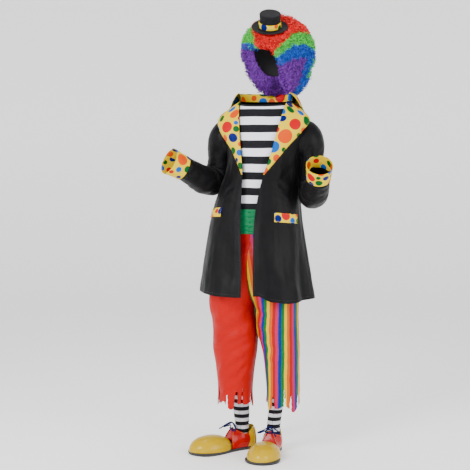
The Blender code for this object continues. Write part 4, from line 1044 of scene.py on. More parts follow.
class Paint:
    """A material being built: its nodes by type, with settings and inputs given together."""

    def __init__(self, name, roughness=0.5, **constants):
        self.material = bpy.data.materials.new(name)
        self.material.use_nodes = True
        self.tree = self.material.node_tree
        self.shader = self.tree.nodes["Principled BSDF"]
        self.shader.inputs["Roughness"].default_value = roughness
        for key, value in constants.items():
            self.shader.inputs[key.replace("_", " ")].default_value = value

    def node(self, kind, settings=None, **inputs):
        made = self.tree.nodes.new(kind)
        for key, value in (settings or {}).items():
            setattr(made, key, value)
        for key, value in inputs.items():
            socket = made.inputs[int(key[1:])] if key[1:].isdigit() and key[0] == "i" else made.inputs[key.replace("_", " ")]
            if isinstance(value, Sock):
                self.tree.links.new(value.out, socket)
            elif isinstance(value, bpy.types.NodeSocket):
                self.tree.links.new(value, socket)
            else:
                socket.default_value = value
        return made

    def uv(self):
        split = self.node("ShaderNodeSeparateXYZ", i0=self.node("ShaderNodeUVMap", {"uv_map": "metres"}).outputs[0])
        return Sock(self.tree, split.outputs[0]), Sock(self.tree, split.outputs[1])

    def uv_vector(self):
        return self.node("ShaderNodeUVMap", {"uv_map": "metres"}).outputs[0]

    def place(self):
        return self.node("ShaderNodeTexCoord").outputs["Object"]

    def height(self):
        return Sock(self.tree, self.node("ShaderNodeSeparateXYZ", i0=self.place()).outputs[2])

    def noise(self, vector, scale, detail=3.0, rough=0.5, distortion=0.0):
        made = self.node("ShaderNodeTexNoise", Vector=vector, Scale=scale, Detail=detail, Roughness=rough, Distortion=distortion)
        return Sock(self.tree, made.outputs[0])

    def mix(self, factor, low, high):
        made = self.node("ShaderNodeMix", {"data_type": "RGBA"})
        for socket, value in ((made.inputs[0], factor), (made.inputs[6], low), (made.inputs[7], high)):
            if isinstance(value, Sock):
                self.tree.links.new(value.out, socket)
            elif isinstance(value, bpy.types.NodeSocket):
                self.tree.links.new(value, socket)
            elif isinstance(value, tuple):
                socket.default_value = (*value, 1)
            else:
                socket.default_value = value
        return made.outputs[2]

    def colour(self, value):
        if isinstance(value, tuple):
            self.shader.inputs["Base Color"].default_value = (*value, 1)
        else:
            self.tree.links.new(value, self.shader.inputs["Base Color"])

    def rough(self, value):
        self.tree.links.new(value.out, self.shader.inputs["Roughness"])

    def bump(self, value, distance, strength=1.0):
        made = self.node("ShaderNodeBump", Height=value, Distance=distance, Strength=strength)
        if self.shader.inputs["Normal"].links:
            self.tree.links.new(self.shader.inputs["Normal"].links[0].from_socket, made.inputs["Normal"])
        self.tree.links.new(made.outputs[0], self.shader.inputs["Normal"])

    def weave(self, threads=1400, strength=0.25, ribs=1.0):
        """Fine warp and weft of satin or jersey, as bump."""
        x, y = self.uv()
        cloth = (x * (threads * ribs)).wave() * 0.5 + (y * threads).wave() * 0.5
        self.bump(cloth, 0.0001, strength)
        return cloth


def worn(paint, colour, amount=0.10, scale=9.0):
    """A colour with slow unevenness, as dyed cloth has."""
    cloudy = paint.noise(paint.uv_vector(), scale, 4)
    dark = tuple(c * (1 - amount) for c in colour)
    light = tuple(min(1, c * (1 + amount * 0.6)) for c in colour)
    return paint.mix(cloudy, dark, light)


print("shader helpers ready")

# %% [markdown]
# ## Colours and patterns
# The dots of the trim, the shirt's cross stripes and the trouser's six-colour stripes follow
# the photo in size and order.

# %% Materials
YELLOW, PINK, ORANGE, GREEN = (0.70, 0.49, 0.0), (0.46, 0.002, 0.006), (0.60, 0.060, 0.0), (0.0, 0.075, 0.012)
LIGHT_BLUE, DARK_BLUE = (0.0, 0.085, 0.38), (0.0, 0.005, 0.11)
DOT_COLOURS = [PINK, ORANGE, LIGHT_BLUE, DARK_BLUE, GREEN]


def satin(name, colour, roughness=0.40, specular=0.16):
    paint = Paint(name, roughness, Specular_IOR_Level=specular, Sheen_Weight=0.02)
    paint.colour(worn(paint, colour))
    paint.weave()
    paint.bump(paint.noise(paint.uv_vector(), 60, 5, 0.6), 0.0012, 0.25)
    return paint


def dotted(name, dots):
    """Yellow satin with printed dots: each row is across, up, radius and a colour number."""
    paint = Paint(name, 0.42, Specular_IOR_Level=0.08)
    x, y = paint.uv()
    colour = worn(paint, YELLOW, 0.07)
    ragged = paint.noise(paint.uv_vector(), 900, 2) * 0.0008
    for across, up, radius, number in dots:
        away = ((x - across).power(2) + (y - up).power(2)).power(0.5) + ragged
        inside = ((away * -1 + (radius + 0.0006)) * 1500).clamped()
        colour = paint.mix(inside, colour, DOT_COLOURS[number])
    paint.colour(colour)
    paint.weave()
    paint.bump(paint.noise(paint.uv_vector(), 60, 5, 0.6), 0.001, 0.2)
    return paint.material


def scatter_dots(width, height, seed, first=(), low=0.009, high=0.024, gap=0.005, tries=900):
    """The first rows as given, then dots of mixed sizes that keep clear of each other."""
    random = np.random.default_rng(seed)
    rows = list(first)
    for k in range(tries):
        radius = mix(high, low, (k / tries) ** 0.6)
        x, y = (random.random() - 0.5) * width, (random.random() - 0.02) * height
        if all(math.hypot(x - r[0], y - r[1]) > radius + r[2] + gap for r in rows):
            choices = [c for c in range(5) if not any(math.hypot(x - r[0], y - r[1]) < 0.06 and r[3] == c for r in rows)]
            rows.append((x, y, radius, int(random.choice(choices or [0, 1, 2, 3, 4]))))
        if len(rows) >= 44:
            break
    return rows


black = satin("black_satin_cloth", (0.0026, 0.0025, 0.0032), 0.5, 0.11)
cloudy = black.noise(black.uv_vector(), 25, 4)
black.rough(cloudy * 0.12 + 0.38)

shirt = Paint("striped_jersey_cloth", 0.78, Specular_IOR_Level=0.2)
stripe = ((shirt.height() + (1.5 - 1.447 - 0.0324)) / 0.0648).part()
wobble = shirt.noise(shirt.uv_vector(), 300, 2) * 0.012 + shirt.noise(shirt.uv_vector(), 7, 2) * 0.10 - 0.056
dark_band = ((stripe - 0.5 + wobble).size() * -1 + 0.257) * 60
shirt.colour(shirt.mix(dark_band.clamped(), (0.80, 0.79, 0.87), (0.004, 0.004, 0.006)))
ribs = shirt.uv()[0]
shirt.bump((ribs * 4200).wave(), 0.0001, 0.35)
shirt.bump(shirt.noise(shirt.uv_vector(), 500, 3), 0.0003, 0.4)
shirt.bump(shirt.noise(shirt.uv_vector(), 11, 3, 0.5, 1.2), 0.012, 0.5)

band_paint = Paint("black_jersey_cloth", 0.75, Specular_IOR_Level=0.2)
band_paint.colour((0.007, 0.007, 0.009))
band_paint.bump((band_paint.uv()[0] * 3600).wave(), 0.0002, 0.6)

green = satin("green_satin_cloth", (0.0, 0.15, 0.050), 0.42, 0.12)
red = satin("red_satin_cloth", (0.40, 0.0, 0.0), 0.46, 0.10)
RAINBOW = [(0.62, 0.40, 0.0), (0.54, 0.085, 0.0), (0.38, 0.0, 0.0), (0.40, 0.010, 0.085), (0.0, 0.018, 0.20), (0.0, 0.12, 0.014)]
STRIPE = 0.0135
STRIPE_START = 61
rainbow = Paint("rainbow_satin_cloth", 0.42, Specular_IOR_Level=0.12)
around = rainbow.uv()[0]
turn = ((around + STRIPE * STRIPE_START) / (STRIPE * 6)).part() * 6
colour = RAINBOW[0]
for k in range(1, 6):
    colour = rainbow.mix(((turn - k) * 60).clamped(), colour, RAINBOW[k])
rainbow.colour(rainbow.mix(rainbow.noise(rainbow.uv_vector(), 9, 4) * 0.12, colour, (0.02, 0.02, 0.02)))
rainbow.weave()
rainbow.bump(rainbow.noise(rainbow.uv_vector(), 60, 5, 0.6), 0.0012, 0.25)

knit = Paint("striped_knit_yarn", 0.85, Specular_IOR_Level=0.2)
ring = ((knit.height() + 1.5) / 0.033).part()
dark_ring = (((ring - 0.5).size() * -1 + 0.275) * 40).clamped()
knit.colour(knit.mix(dark_ring, (0.62, 0.61, 0.65), (0.004, 0.004, 0.006)))
knit_x, knit_y = knit.uv()
knit.bump((knit_x * 2600).wave() * (knit_y * 1500).wave(), 0.0004, 0.8)

felt = Paint("black_felt_wool", 0.85, Specular_IOR_Level=0.15, Sheen_Weight=0.03)
felt.colour((0.005, 0.005, 0.006))
felt.bump(felt.noise(felt.place(), 900, 5, 0.7), 0.0006, 0.8)


def vinyl(name, colour, heel=None):
    paint = Paint(name, 0.20, Specular_IOR_Level=0.12, Coat_Weight=0.14, Coat_Roughness=0.08)
    cloudy = paint.noise(paint.place(), 18, 4)
    shade = paint.mix(cloudy, tuple(c * 0.86 for c in colour), colour)
    if heel is not None:
        x, y = paint.uv()
        behind = ((x.size() * -1 + 0.082 - y * 0.30) * 1200).clamped()
        shade = paint.mix(behind, shade, heel)
    paint.colour(shade)
    paint.rough(paint.noise(paint.place(), 90, 5, 0.6) * 0.18 + 0.12)
    paint.bump(paint.noise(paint.place(), 480, 3, 0.6), 0.0003, 0.12)
    return paint.material


toe_yellow = vinyl("yellow_vinyl_shell", (0.52, 0.33, 0.0))
upper_red = vinyl("red_vinyl_upper", (0.40, 0.0, 0.0), heel=(0.52, 0.33, 0.0))
shoe_red = vinyl("red_vinyl_shell", (0.40, 0.0, 0.0))
rubber = Paint("black_rubber_sole", 0.55)
rubber.colour((0.016, 0.016, 0.017))
rubber.bump(rubber.noise(rubber.place(), 700, 4), 0.0004, 0.4)
cord_blue = Paint("blue_cord_braid", 0.7, Specular_IOR_Level=0.15)
cord_blue.colour((0.0, 0.004, 0.060))
cord_blue.bump(cord_blue.noise(cord_blue.place(), 1500, 2), 0.0004, 0.8)
thread = Paint("black_thread", 0.6)
thread.colour((0.03, 0.03, 0.035))

HAIR = {
    "red": (0.95, 0.0, 0.0),
    "green": (0.07, 0.62, 0.06),
    "blue": (0.0, 0.090, 0.56),
    "purple": (0.16, 0.018, 0.34),
}
hair_paints = {}
for word, colour in HAIR.items():
    paint = Paint(f"hair_{word}", 0.40, Specular_IOR_Level=0.25)
    # Noise paints light and shade into the hair: the lighter colour is a painted highlight on the clumps, the colour at
    # 0.42 is painted shade in the gaps between curls.
    painted_highlight_and_gap_shade = paint.noise(paint.place(), 95, 3, 0.7)
    light = tuple(min(1, c * 1.25 + 0.012) for c in colour)
    paint.colour(paint.mix(((painted_highlight_and_gap_shade - 0.36) * 3.4).clamped(), tuple(c * 0.42 for c in colour), light))
    hair_paints[word] = paint.material


def dress(name, material):
    obj = PIECES[name]
    obj.data.materials.clear()
    obj.data.materials.append(material)


for name in ("coat_back", "coat_front_right", "coat_front_left", "sleeve_right", "sleeve_left"):
    dress(name, black.material)
# across and up on the flat piece, radius, colour number
SEEN_DOTS = {
    "lapel_right": [
        (0.000, 0.335, 0.015, 3), (-0.030, 0.300, 0.015, 3), (0.045, 0.265, 0.020, 1), (0.045, 0.220, 0.010, 2),
        (0.000, 0.215, 0.025, 0), (0.010, 0.160, 0.020, 3), (0.030, 0.125, 0.010, 1), (-0.015, 0.110, 0.015, 4),
        (-0.010, 0.065, 0.010, 3),
    ],
    "lapel_left": [
        (-0.030, 0.330, 0.015, 3), (-0.030, 0.300, 0.015, 4), (0.045, 0.290, 0.020, 4), (-0.055, 0.245, 0.015, 3),
        (0.005, 0.245, 0.025, 0), (0.045, 0.215, 0.010, 4), (-0.055, 0.190, 0.015, 0), (-0.005, 0.180, 0.030, 1),
        (0.020, 0.130, 0.010, 4), (-0.025, 0.120, 0.025, 2), (0.010, 0.085, 0.015, 1), (-0.015, 0.055, 0.015, 4),
    ],
    "cuff_left": [(0.020, 0.040, 0.020, 0), (-0.050, 0.040, 0.020, 1)],
    "cuff_right": [(-0.050, 0.040, 0.025, 1), (0.030, 0.015, 0.010, 3), (0.020, 0.060, 0.010, 0)],
    "pocket_flap_right": [(0.030, 0.025, 0.010, 0), (0.055, 0.025, 0.015, 3)],
    "pocket_flap_left": [(-0.010, 0.030, 0.020, 0), (-0.045, 0.015, 0.015, 3), (0.055, 0.010, 0.010, 4)],
    "collar": [],
}
SPREAD = {"lapel": (0.14, 0.38, 1), "cuff": (0.36, 0.09, 5), "pocket": (0.14, 0.05, 2), "collar": (0.62, 0.13, 21)}
for name, first in SEEN_DOTS.items():
    width, height, seed = SPREAD[name.split("_")[0]]
    rows = scatter_dots(width, height, seed, first, high=0.015 if first else 0.026)
    dress(name, dotted("dotted_" + name, rows))
dress("shirt_front", shirt.material)
dress("shirt_neckband", band_paint.material)
dress("waist_sash", green.material)
for name in ("front", "back"):
    dress(f"trouser_{name}_right", red.material)
    dress(f"trouser_{name}_left", rainbow.material)
print("materials", len(bpy.data.materials))

# %% [markdown]
# ## Repeated small parts
# Curls and stitches are one small mesh each, placed many times by Geometry Nodes on a cloud of
# points that carries a direction and a size for every copy.

# %% Scatter maker


def tube(points, radii, sides, cap=True):
    """Vertices and faces of a tube along points, with a radius at each."""
    points = np.asarray(points, float)
    ahead = unit(np.gradient(points, axis=0))
    side = np.cross(ahead[0], [0.3, 0.5, 0.81])
    verts, faces = [], []
    for k in range(len(points)):
        side = side - ahead[k] * (side @ ahead[k])
        side /= np.linalg.norm(side)
        other = np.cross(ahead[k], side)
        turns = np.linspace(0, 2 * math.pi, sides, endpoint=False)
        verts += [points[k] + radii[k] * (side * math.cos(t) + other * math.sin(t)) for t in turns]
    for k in range(len(points) - 1):
        for m in range(sides):
            a, b = k * sides + m, k * sides + (m + 1) % sides
            faces.append((a, b, b + sides, a + sides))
    if cap:
        faces.append(tuple(range(sides))[::-1])
        faces.append(tuple(range((len(points) - 1) * sides, len(points) * sides)))
    return verts, faces


def small_mesh(name, verts, faces):
    mesh = bpy.data.meshes.new(name)
    mesh.from_pydata([tuple(v) for v in verts], [], faces)
    mesh.shade_smooth()
    return mesh


def scatter_tree(name, sources, material):
    """Instance on Points, one source for each value of the points' kind, realized and painted."""
    tree = bpy.data.node_groups.new(name, "GeometryNodeTree")
    tree.interface.new_socket("Geometry", in_out="INPUT", socket_type="NodeSocketGeometry")
    tree.interface.new_socket("Size factor", in_out="INPUT", socket_type="NodeSocketFloat").default_value = 1.0
    tree.interface.new_socket("Geometry", in_out="OUTPUT", socket_type="NodeSocketGeometry")
    add, link = tree.nodes.new, tree.links.new
    start, end = add("NodeGroupInput"), add("NodeGroupOutput")
    join = add("GeometryNodeJoinGeometry")

    def attribute(kind, label):
        node = add("GeometryNodeInputNamedAttribute")
        node.data_type = kind
        node.inputs["Name"].default_value = label
        return node.outputs["Attribute"]

    turn, size, sort = attribute("FLOAT_VECTOR", "turn"), attribute("FLOAT_VECTOR", "size"), attribute("INT", "sort")
    euler = add("FunctionNodeEulerToRotation")
    link(turn, euler.inputs[0])
    scaled = add("ShaderNodeVectorMath")
    scaled.operation = "SCALE"
    link(size, scaled.inputs[0])
    link(start.outputs["Size factor"], scaled.inputs["Scale"])
    for k, source in enumerate(sources):
        info = add("GeometryNodeObjectInfo")
        info.inputs["Object"].default_value = source
        same = add("FunctionNodeCompare")
        same.data_type, same.operation = "INT", "EQUAL"
        link(sort, same.inputs[2])
        same.inputs[3].default_value = k
        place = add("GeometryNodeInstanceOnPoints")
        link(start.outputs["Geometry"], place.inputs["Points"])
        link(same.outputs[0], place.inputs["Selection"])
        link(info.outputs["Geometry"], place.inputs["Instance"])
        link(euler.outputs[0], place.inputs["Rotation"])
        link(scaled.outputs[0], place.inputs["Scale"])
        link(place.outputs[0], join.inputs[0])
    real, paint = add("GeometryNodeRealizeInstances"), add("GeometryNodeSetMaterial")
    paint.inputs["Material"].default_value = material
    link(join.outputs[0], real.inputs[0])
    link(real.outputs[0], paint.inputs[0])
    link(paint.outputs[0], end.inputs[0])
    return tree


def scattered(name, points, headings, sizes, sorts, meshes, material, nodes=()):
    """Copies of small meshes, their local Z along each heading, baked into one piece."""
    cloud = bpy.data.meshes.new(name + "_cloud")
    cloud.from_pydata([tuple(p) for p in points], [], [])
    turns = []
    for k, heading in enumerate(headings):
        z = Vector(heading).normalized()
        quaternion = z.to_track_quat("Z", "Y")
        spin = Matrix.Rotation(2.4 * k, 3, "Z") if meshes[0].name.startswith("curl") else Matrix.Identity(3)
        turns.append((quaternion.to_matrix() @ spin).to_euler())
    for label, kind, key, values in (
        ("turn", "FLOAT_VECTOR", "vector", np.array(turns, float).ravel()),
        ("size", "FLOAT_VECTOR", "vector", np.array(sizes, float).ravel()),
        ("sort", "INT", "value", np.array(sorts, int)),
    ):
        cloud.attributes.new(label, kind, "POINT").data.foreach_set(key, values)
    holder = bpy.data.objects.new(name + "_points", cloud)
    bpy.context.scene.collection.objects.link(holder)
    sources = []
    for mesh in meshes:
        source = bpy.data.objects.new(mesh.name, mesh)
        bpy.context.scene.collection.objects.link(source)
        sources.append(source)
    modifier = holder.modifiers.new("copies", "NODES")
    modifier.node_group = scatter_tree(name + "_tree", sources, material)
    depsgraph = bpy.context.evaluated_depsgraph_get()
    baked = bpy.data.meshes.new_from_object(holder.evaluated_get(depsgraph))
    for obj in (holder, *sources):
        bpy.data.objects.remove(obj)
    piece = keep(name, baked, *nodes)
    return piece


print("scatter maker ready")

# %% [markdown]
# ## Wig
# The wig is a thick shell of tight curls, open at the face and the neck. Its colours run in
# bands that sweep from the front up towards the back: red, green, blue and purple.

# %% Wig shape and colour bands
WIG_CENTRE = np.array([0.060, 0.030, 1.698])
FACING = np.array([-0.545, -0.839, 0.0])
WIG_SIDE = np.array([0.839, -0.545, 0.0])
WIG_RADIUS, HEAD_RADII, HEAD_FORWARD = 0.151, (0.098, 0.082, 0.108), 0.012
ACROSS_PHOTO, TOWARDS_PHOTO = np.array([0.961, 0.276, 0.0]), np.array([0.276, -0.961, 0.0])
BANDS = {
    "across": [-1.00, -0.75, -0.66, -0.60, -0.14, 0.10, 0.39, 0.65, 0.89, 1.00],
    "red_low": [0.95, 0.75, 0.30, -0.20, -0.04, 0.16, 0.46, 0.52, 0.515, 0.50],
    "green_deep": [0.72, 0.55, 0.20, 0.15, 0.20, 0.26, 0.33, 0.37, 0.40, 0.42],
    "blue_deep": [0.06, 0.06, 0.08, 0.10, 0.24, 0.28, 0.34, 0.34, 0.28, 0.24],
}


def hair_edge(turn):
    away = np.abs((turn + math.pi) % (2 * math.pi) - math.pi)
    return np.radians(mix(80, 159, ease((np.degrees(away) - 30) / 60)))


def hair_place(turn, polar, lift=0.0):
    """A point of the wig's outside and its outward direction."""
    level = FACING * np.cos(turn)[..., None] + WIG_SIDE * np.sin(turn)[..., None]
    out = level * np.sin(polar)[..., None] + np.array([0, 0, 1.0]) * np.cos(polar)[..., None]
    nape = 0.032 * ease((np.degrees(polar) - 112) / 40)
    lumps = 0.0045 * wander(turn * 2.2, polar * 4.5, 2) + 0.0042 * wander(turn * 7.5, polar * 13, 5)
    return WIG_CENTRE + out * (WIG_RADIUS + nape + lumps + lift)[..., None], out


def head_place(turn, polar):
    level = FACING * (HEAD_RADII[0] * np.cos(turn))[..., None] + WIG_SIDE * (HEAD_RADII[1] * np.sin(turn))[..., None]
    rise = np.array([0, 0, 1.0]) * (HEAD_RADII[2] * np.cos(polar))[..., None]
    return WIG_CENTRE + FACING * HEAD_FORWARD + level * np.sin(polar)[..., None] + rise


def hair_colour(points, jitter=0.0):
    """0 red, 1 green, 2 blue, 3 purple, by where a point lies on the wig."""
    out = unit(points - WIG_CENTRE)
    across, up = out @ ACROSS_PHOTO, out[..., 2] + jitter
    red_low = np.interp(across, BANDS["across"], BANDS["red_low"])
    green_low = red_low - np.interp(across, BANDS["across"], BANDS["green_deep"])
    blue_low = green_low - np.interp(across, BANDS["across"], BANDS["blue_deep"])
    zone = np.where(up > red_low, 0, np.where(up > green_low, 1, np.where(up > blue_low, 2, 3)))
    way_round = np.degrees(np.arctan2(across, out @ TOWARDS_PHOTO)) + 60 * jitter
    side = (zone == 3) & (way_round > 50) & (way_round < 130)
    zone = np.where(side, 2, zone)
    return np.where(side & (way_round > 70) & (way_round < 108) & (up > -0.62), 1, zone)


random = np.random.default_rng(12)
wig_points, wig_heads = [], []
count = 4300
for k in range(count):
    z = 1 - 2 * (k + 0.5) / count
    polar, turn = math.acos(z), (k * 2.399963) % (2 * math.pi)
    if polar < hair_edge(np.array(turn)) + 0.02:
        place, out = hair_place(np.array(turn), np.array(polar), np.array(-0.005))
        wig_points.append(place)
        wig_heads.append(out)
for turn in np.linspace(0, 2 * math.pi, 104, endpoint=False):
    edge = hair_edge(np.array(turn))
    outer, out = hair_place(np.array(turn), edge, np.array(-0.006))
    inner = head_place(np.array(turn), edge)
    low = hair_place(np.array(turn), edge + 0.05)[0] - hair_place(np.array(turn), edge)[0]
    width = np.linalg.norm(outer - inner)
    rows = max(2, int(width / 0.0080))
    for r in range(rows):
        share = (r + 0.4 + 0.3 * random.random()) / rows
        wig_points.append(mix(outer, inner, share))
        wig_heads.append(unit(low) * 1.0 + out * 0.5 * (1 - share) - out * 0.2 * share)
wig_points, wig_heads = np.array(wig_points), unit(np.array(wig_heads))
HAT_CENTRE = WIG_CENTRE + ACROSS_PHOTO * -0.036 + TOWARDS_PHOTO * 0.085 + np.array([0, 0, 0.096])
HAT_LEAN = math.radians(31)
HAT_AXIS = np.array([0, 0, math.cos(HAT_LEAN)]) + TOWARDS_PHOTO * math.sin(HAT_LEAN)
local = wig_points - HAT_CENTRE
rise = local @ HAT_AXIS
off = np.linalg.norm(local - rise[:, None] * HAT_AXIS, axis=1)
clear = ~((off < 0.083) & (rise > -0.015))
wig_points, wig_heads = wig_points[clear], wig_heads[clear]
print("curls", len(wig_points))

# %% [markdown]
# Each curl is a short helix that thins towards its end. Three shapes are mixed, each turned
# and sized a little differently.

# %% Curls


def curl_mesh(name, turns, radius, height, thick):
    steps = 11
    t = np.linspace(0, 1, steps)
    angle = 2 * math.pi * turns * t
    reach = radius * (0.55 + 0.45 * np.sin(math.pi * (0.15 + 0.85 * t)))
    points = np.stack([reach * np.cos(angle), reach * np.sin(angle), height * (t - 0.25)], axis=1)
    return small_mesh(name, *tube(points, thick * (1 - 0.55 * t), 3, cap=False))


curl_shapes = [
    curl_mesh("curl_round", 1.35, 0.0072, 0.0140, 0.00215),
    curl_mesh("curl_long", 1.05, 0.0062, 0.0185, 0.00205),
    curl_mesh("curl_tight", 1.7, 0.0060, 0.0130, 0.00190),
]
jitter = 0.05 * (random.random(len(wig_points)) - 0.5) + 0.03 * np.sin(wig_points[:, 0] * 160) * np.sin(wig_points[:, 2] * 140)
zones = hair_colour(wig_points, jitter)
tilt = unit(wig_heads + 0.55 * (random.random((len(wig_points), 3)) - 0.5))
scale = 0.85 + 0.45 * random.random(len(wig_points))
for number, word in enumerate(HAIR):
    mine = zones == number
    sizes = np.repeat(scale[mine][:, None], 3, axis=1)
    kinds = random.integers(0, 3, mine.sum())
    shapes = [m.copy() for m in curl_shapes]
    for shape, original in zip(shapes, curl_shapes):
        shape.name = original.name + "_" + word
    scattered(f"wig_{word}", wig_points[mine], tilt[mine], sizes, kinds, shapes, hair_paints[word], ["wig"])


def wig_base():
    """The dense undergrowth below the curls, lined with the cap."""
    around, rows = 180, 70
    turn = np.linspace(0, 2 * math.pi, around, endpoint=False)
    rings = []
    for row in range(rows + 1):
        polar = mix(math.radians(1.5), hair_edge(turn), row / rows)
        rings.append(hair_place(turn, polar, np.full(around, -0.010))[0])
    for share in (0.33, 0.66):
        outer = hair_place(turn, hair_edge(turn), np.full(around, -0.010))[0]
        rings.append(mix(outer, head_place(turn, hair_edge(turn)), share))
    for row in range(24 + 1):
        rings.append(head_place(turn, mix(hair_edge(turn), math.radians(1.5), row / 24)))
    return np.stack(rings)


rings = wig_base()
local = rings - HAT_CENTRE
rise = local @ HAT_AXIS
off = np.linalg.norm(local - rise[..., None] * HAT_AXIS, axis=-1)
push = np.where((off < 0.076) & (rise > -0.004), rise + 0.004, 0)
rings = rings - HAT_AXIS * push[..., None]
rows, around = rings.shape[:2]
verts = rings.reshape(-1, 3) + np.array([0, 0, FLOOR])
faces = []
for r in range(rows - 1):
    for m in range(around):
        n = (m + 1) % around
        faces.append((r * around + m, r * around + n, (r + 1) * around + n, (r + 1) * around + m))
faces.append(tuple(range(around))[::-1])
faces.append(tuple(range((rows - 1) * around, rows * around)))
mesh = small_mesh("wig_base", verts, faces)
base = keep("wig_base", mesh, "wig")
for word in HAIR:
    mesh.materials.append(hair_paints[word])
cap_paint = Paint("wig_cap_net", 0.8)
cap_paint.colour((0.02, 0.02, 0.022))
cap_paint.bump(cap_paint.noise(cap_paint.place(), 700, 3), 0.0006, 0.6)
mesh.materials.append(cap_paint.material)
centres = np.array([np.mean(verts[list(f)], axis=0) - np.array([0, 0, FLOOR]) for f in faces])
zones = hair_colour(centres)
for index, polygon in enumerate(mesh.polygons):
    row = index // around
    polygon.material_index = int(zones[index]) if row < 74 else 4
for name in HAIR:
    PIECES[f"wig_{name}"].data.transform(Matrix.Translation((0, 0, FLOOR)))
print("wig pieces", [n for n in PIECES if n.startswith("wig")])

# %% [markdown]
# ## Hat
# The small hat is pressed felt: a crown with a soft top edge, a rolled brim and a dotted band.

# %% Hat
HAT_PROFILE = [
    (0.0640, 0.0000), (0.0644, 0.0150), (0.0646, 0.0300), (0.0640, 0.0395), (0.0625, 0.0430), (0.0590, 0.0440),
    (0.0480, 0.0431), (0.0350, 0.0425), (0.0200, 0.0430), (0.0100, 0.0438), (0.0060, 0.0445), (0.0038, 0.0475),
    (0.0032, 0.0560), (0.0040, 0.0640), (0.0058, 0.0705), (0.0064, 0.0735), (0.0052, 0.0745), (0.0036, 0.0735),
    (0.0018, 0.0680), (0.0008, 0.0560), (0.0006, 0.0450), (0.0030, 0.0415), (0.0350, 0.0398), (0.0600, 0.0410),
    (0.0612, 0.0380), (0.0614, 0.0000),
]


def lathe(name, profile, around, wobble=0.0):
    """A turned form about the hat's axis, a little uneven as pressed felt is."""
    first = unit(np.cross(HAT_AXIS, ACROSS_PHOTO))
    second = np.cross(HAT_AXIS, first)
    turns = np.linspace(0, 2 * math.pi, around, endpoint=False)
    verts, faces = [], []
    for height, radius in profile:
        for t in turns:
            bend = wobble * math.sin(2 * t + 0.6) * (radius / 0.0745) ** 2 + wobble * 0.4 * math.sin(5 * t) * radius / 0.0745
            point = HAT_CENTRE + HAT_AXIS * (height + bend)
            verts.append(point + (first * math.cos(t) + second * math.sin(t)) * max(radius, 0.0002))
    rows = len(profile)
    for r in range(rows - 1):
        for m in range(around):
            n = (m + 1) % around
            faces.append((r * around + m, r * around + n, (r + 1) * around + n, (r + 1) * around + m))
    mesh = small_mesh(name, np.array(verts) + np.array([0, 0, FLOOR]), faces)
    bm = bmesh.new()
    bm.from_mesh(mesh)
    bmesh.ops.recalc_face_normals(bm, faces=bm.faces)
    bm.to_mesh(mesh)
    bm.free()
    layer = mesh.uv_layers.new(name="metres")
    for loop in mesh.loops:
        row, m = divmod(loop.vertex_index, around)
        layer.data[loop.index].uv = ((m / around - 0.5) * 2 * math.pi * 0.0465, profile[row][0])
    return mesh


def doubled(profile, times=2):
    """The profile with points added on a smooth curve between its rows."""
    profile = np.array(profile)
    for _ in range(times):
        middle = (profile[:-1] + profile[1:]) / 2
        smooth = middle.copy()
        smooth[1:-1] += (profile[1:-2] + profile[2:-1] - profile[:-3] - profile[3:]) / 16
        merged = np.empty((len(profile) * 2 - 1, 2))
        merged[0::2], merged[1::2] = profile, smooth
        profile = merged
    return profile


keep("hat", lathe("hat", doubled(HAT_PROFILE, 1), 96, 0.0010), "hat")
dress("hat", felt.material)
band_rows = [(0.0065, 0.0452), (0.0075, 0.0466), (0.0120, 0.0468), (0.0200, 0.0463), (0.0280, 0.0458), (0.0300, 0.0453), (0.0298, 0.0445), (0.0180, 0.0447), (0.0066, 0.0450), (0.0065, 0.0452)]
keep("hat_band", lathe("hat_band", band_rows, 96, 0.0003), "hat_band")
HAT_DOTS = [
    (-0.120, 0.016, 0.012, 2), (-0.090, 0.022, 0.010, 1), (-0.064, 0.012, 0.009, 4), (-0.028, 0.019, 0.015, 3), (0.026, 0.024, 0.009, 1),
    (0.046, 0.012, 0.011, 4), (0.072, 0.022, 0.009, 0), (0.094, 0.013, 0.012, 1), (0.124, 0.020, 0.011, 3),
]
dress("hat_band", dotted("dotted_hat_band", HAT_DOTS))
print("hat built")

# %% [markdown]
# ## Socks
# The socks are knitted tubes with a soft gather at the ankle.

# %% Socks
SOCKS = {
    "right": {
        "height": [0.0138, 0.05, 0.10, 0.16, 0.22, 0.30],
        "x": [-0.105, -0.105, -0.106, -0.108, -0.109, -0.110],
        "y": [0.074, 0.074, 0.073, 0.069, 0.065, 0.0655],
        "radius": [0.0230, 0.0255, 0.0290, 0.0345, 0.0350, 0.0370],
    },
    "left": {
        "height": [0.0138, 0.05, 0.10, 0.16, 0.22, 0.30],
        "x": [0.036, 0.036, 0.038, 0.0465, 0.0575, 0.0600],
        "y": [0.060, 0.059, 0.056, 0.046, 0.0368, 0.032],
        "radius": [0.0230, 0.0250, 0.0280, 0.0295, 0.0289, 0.0300],
    },
}


def sock(table):
    def surface(u, v):
        height = mix(table["height"][0], table["height"][-1], v)
        angle = 2 * math.pi * u
        gather = 0.0013 * np.sin(height * 420 + 1.2 * np.sin(angle + 0.5)) * np.exp(-(((height - 0.105) / 0.035) ** 2))
        radius = column(table, "radius", height) + gather + 0.0004 * np.sin(angle * 44) * ease((height - 0.25) * 30)
        x, y = column(table, "x", height), column(table, "y", height)
        return stack(x + radius * np.sin(angle), y - radius * np.cos(angle), height)

    return surface


for word in ("right", "left"):
    cloth(f"sock_{word}", sock(SOCKS[word]), 66, 90, 0.0014, closed=True)
    dress(f"sock_{word}", knit.material)
print("socks built")

# %% [markdown]
# ## Shoes
# Each shoe has a flat sole, a bulging toe cap, an upper round the heel and sides, a heel piece,
# a tongue and one lace tied in a bow.

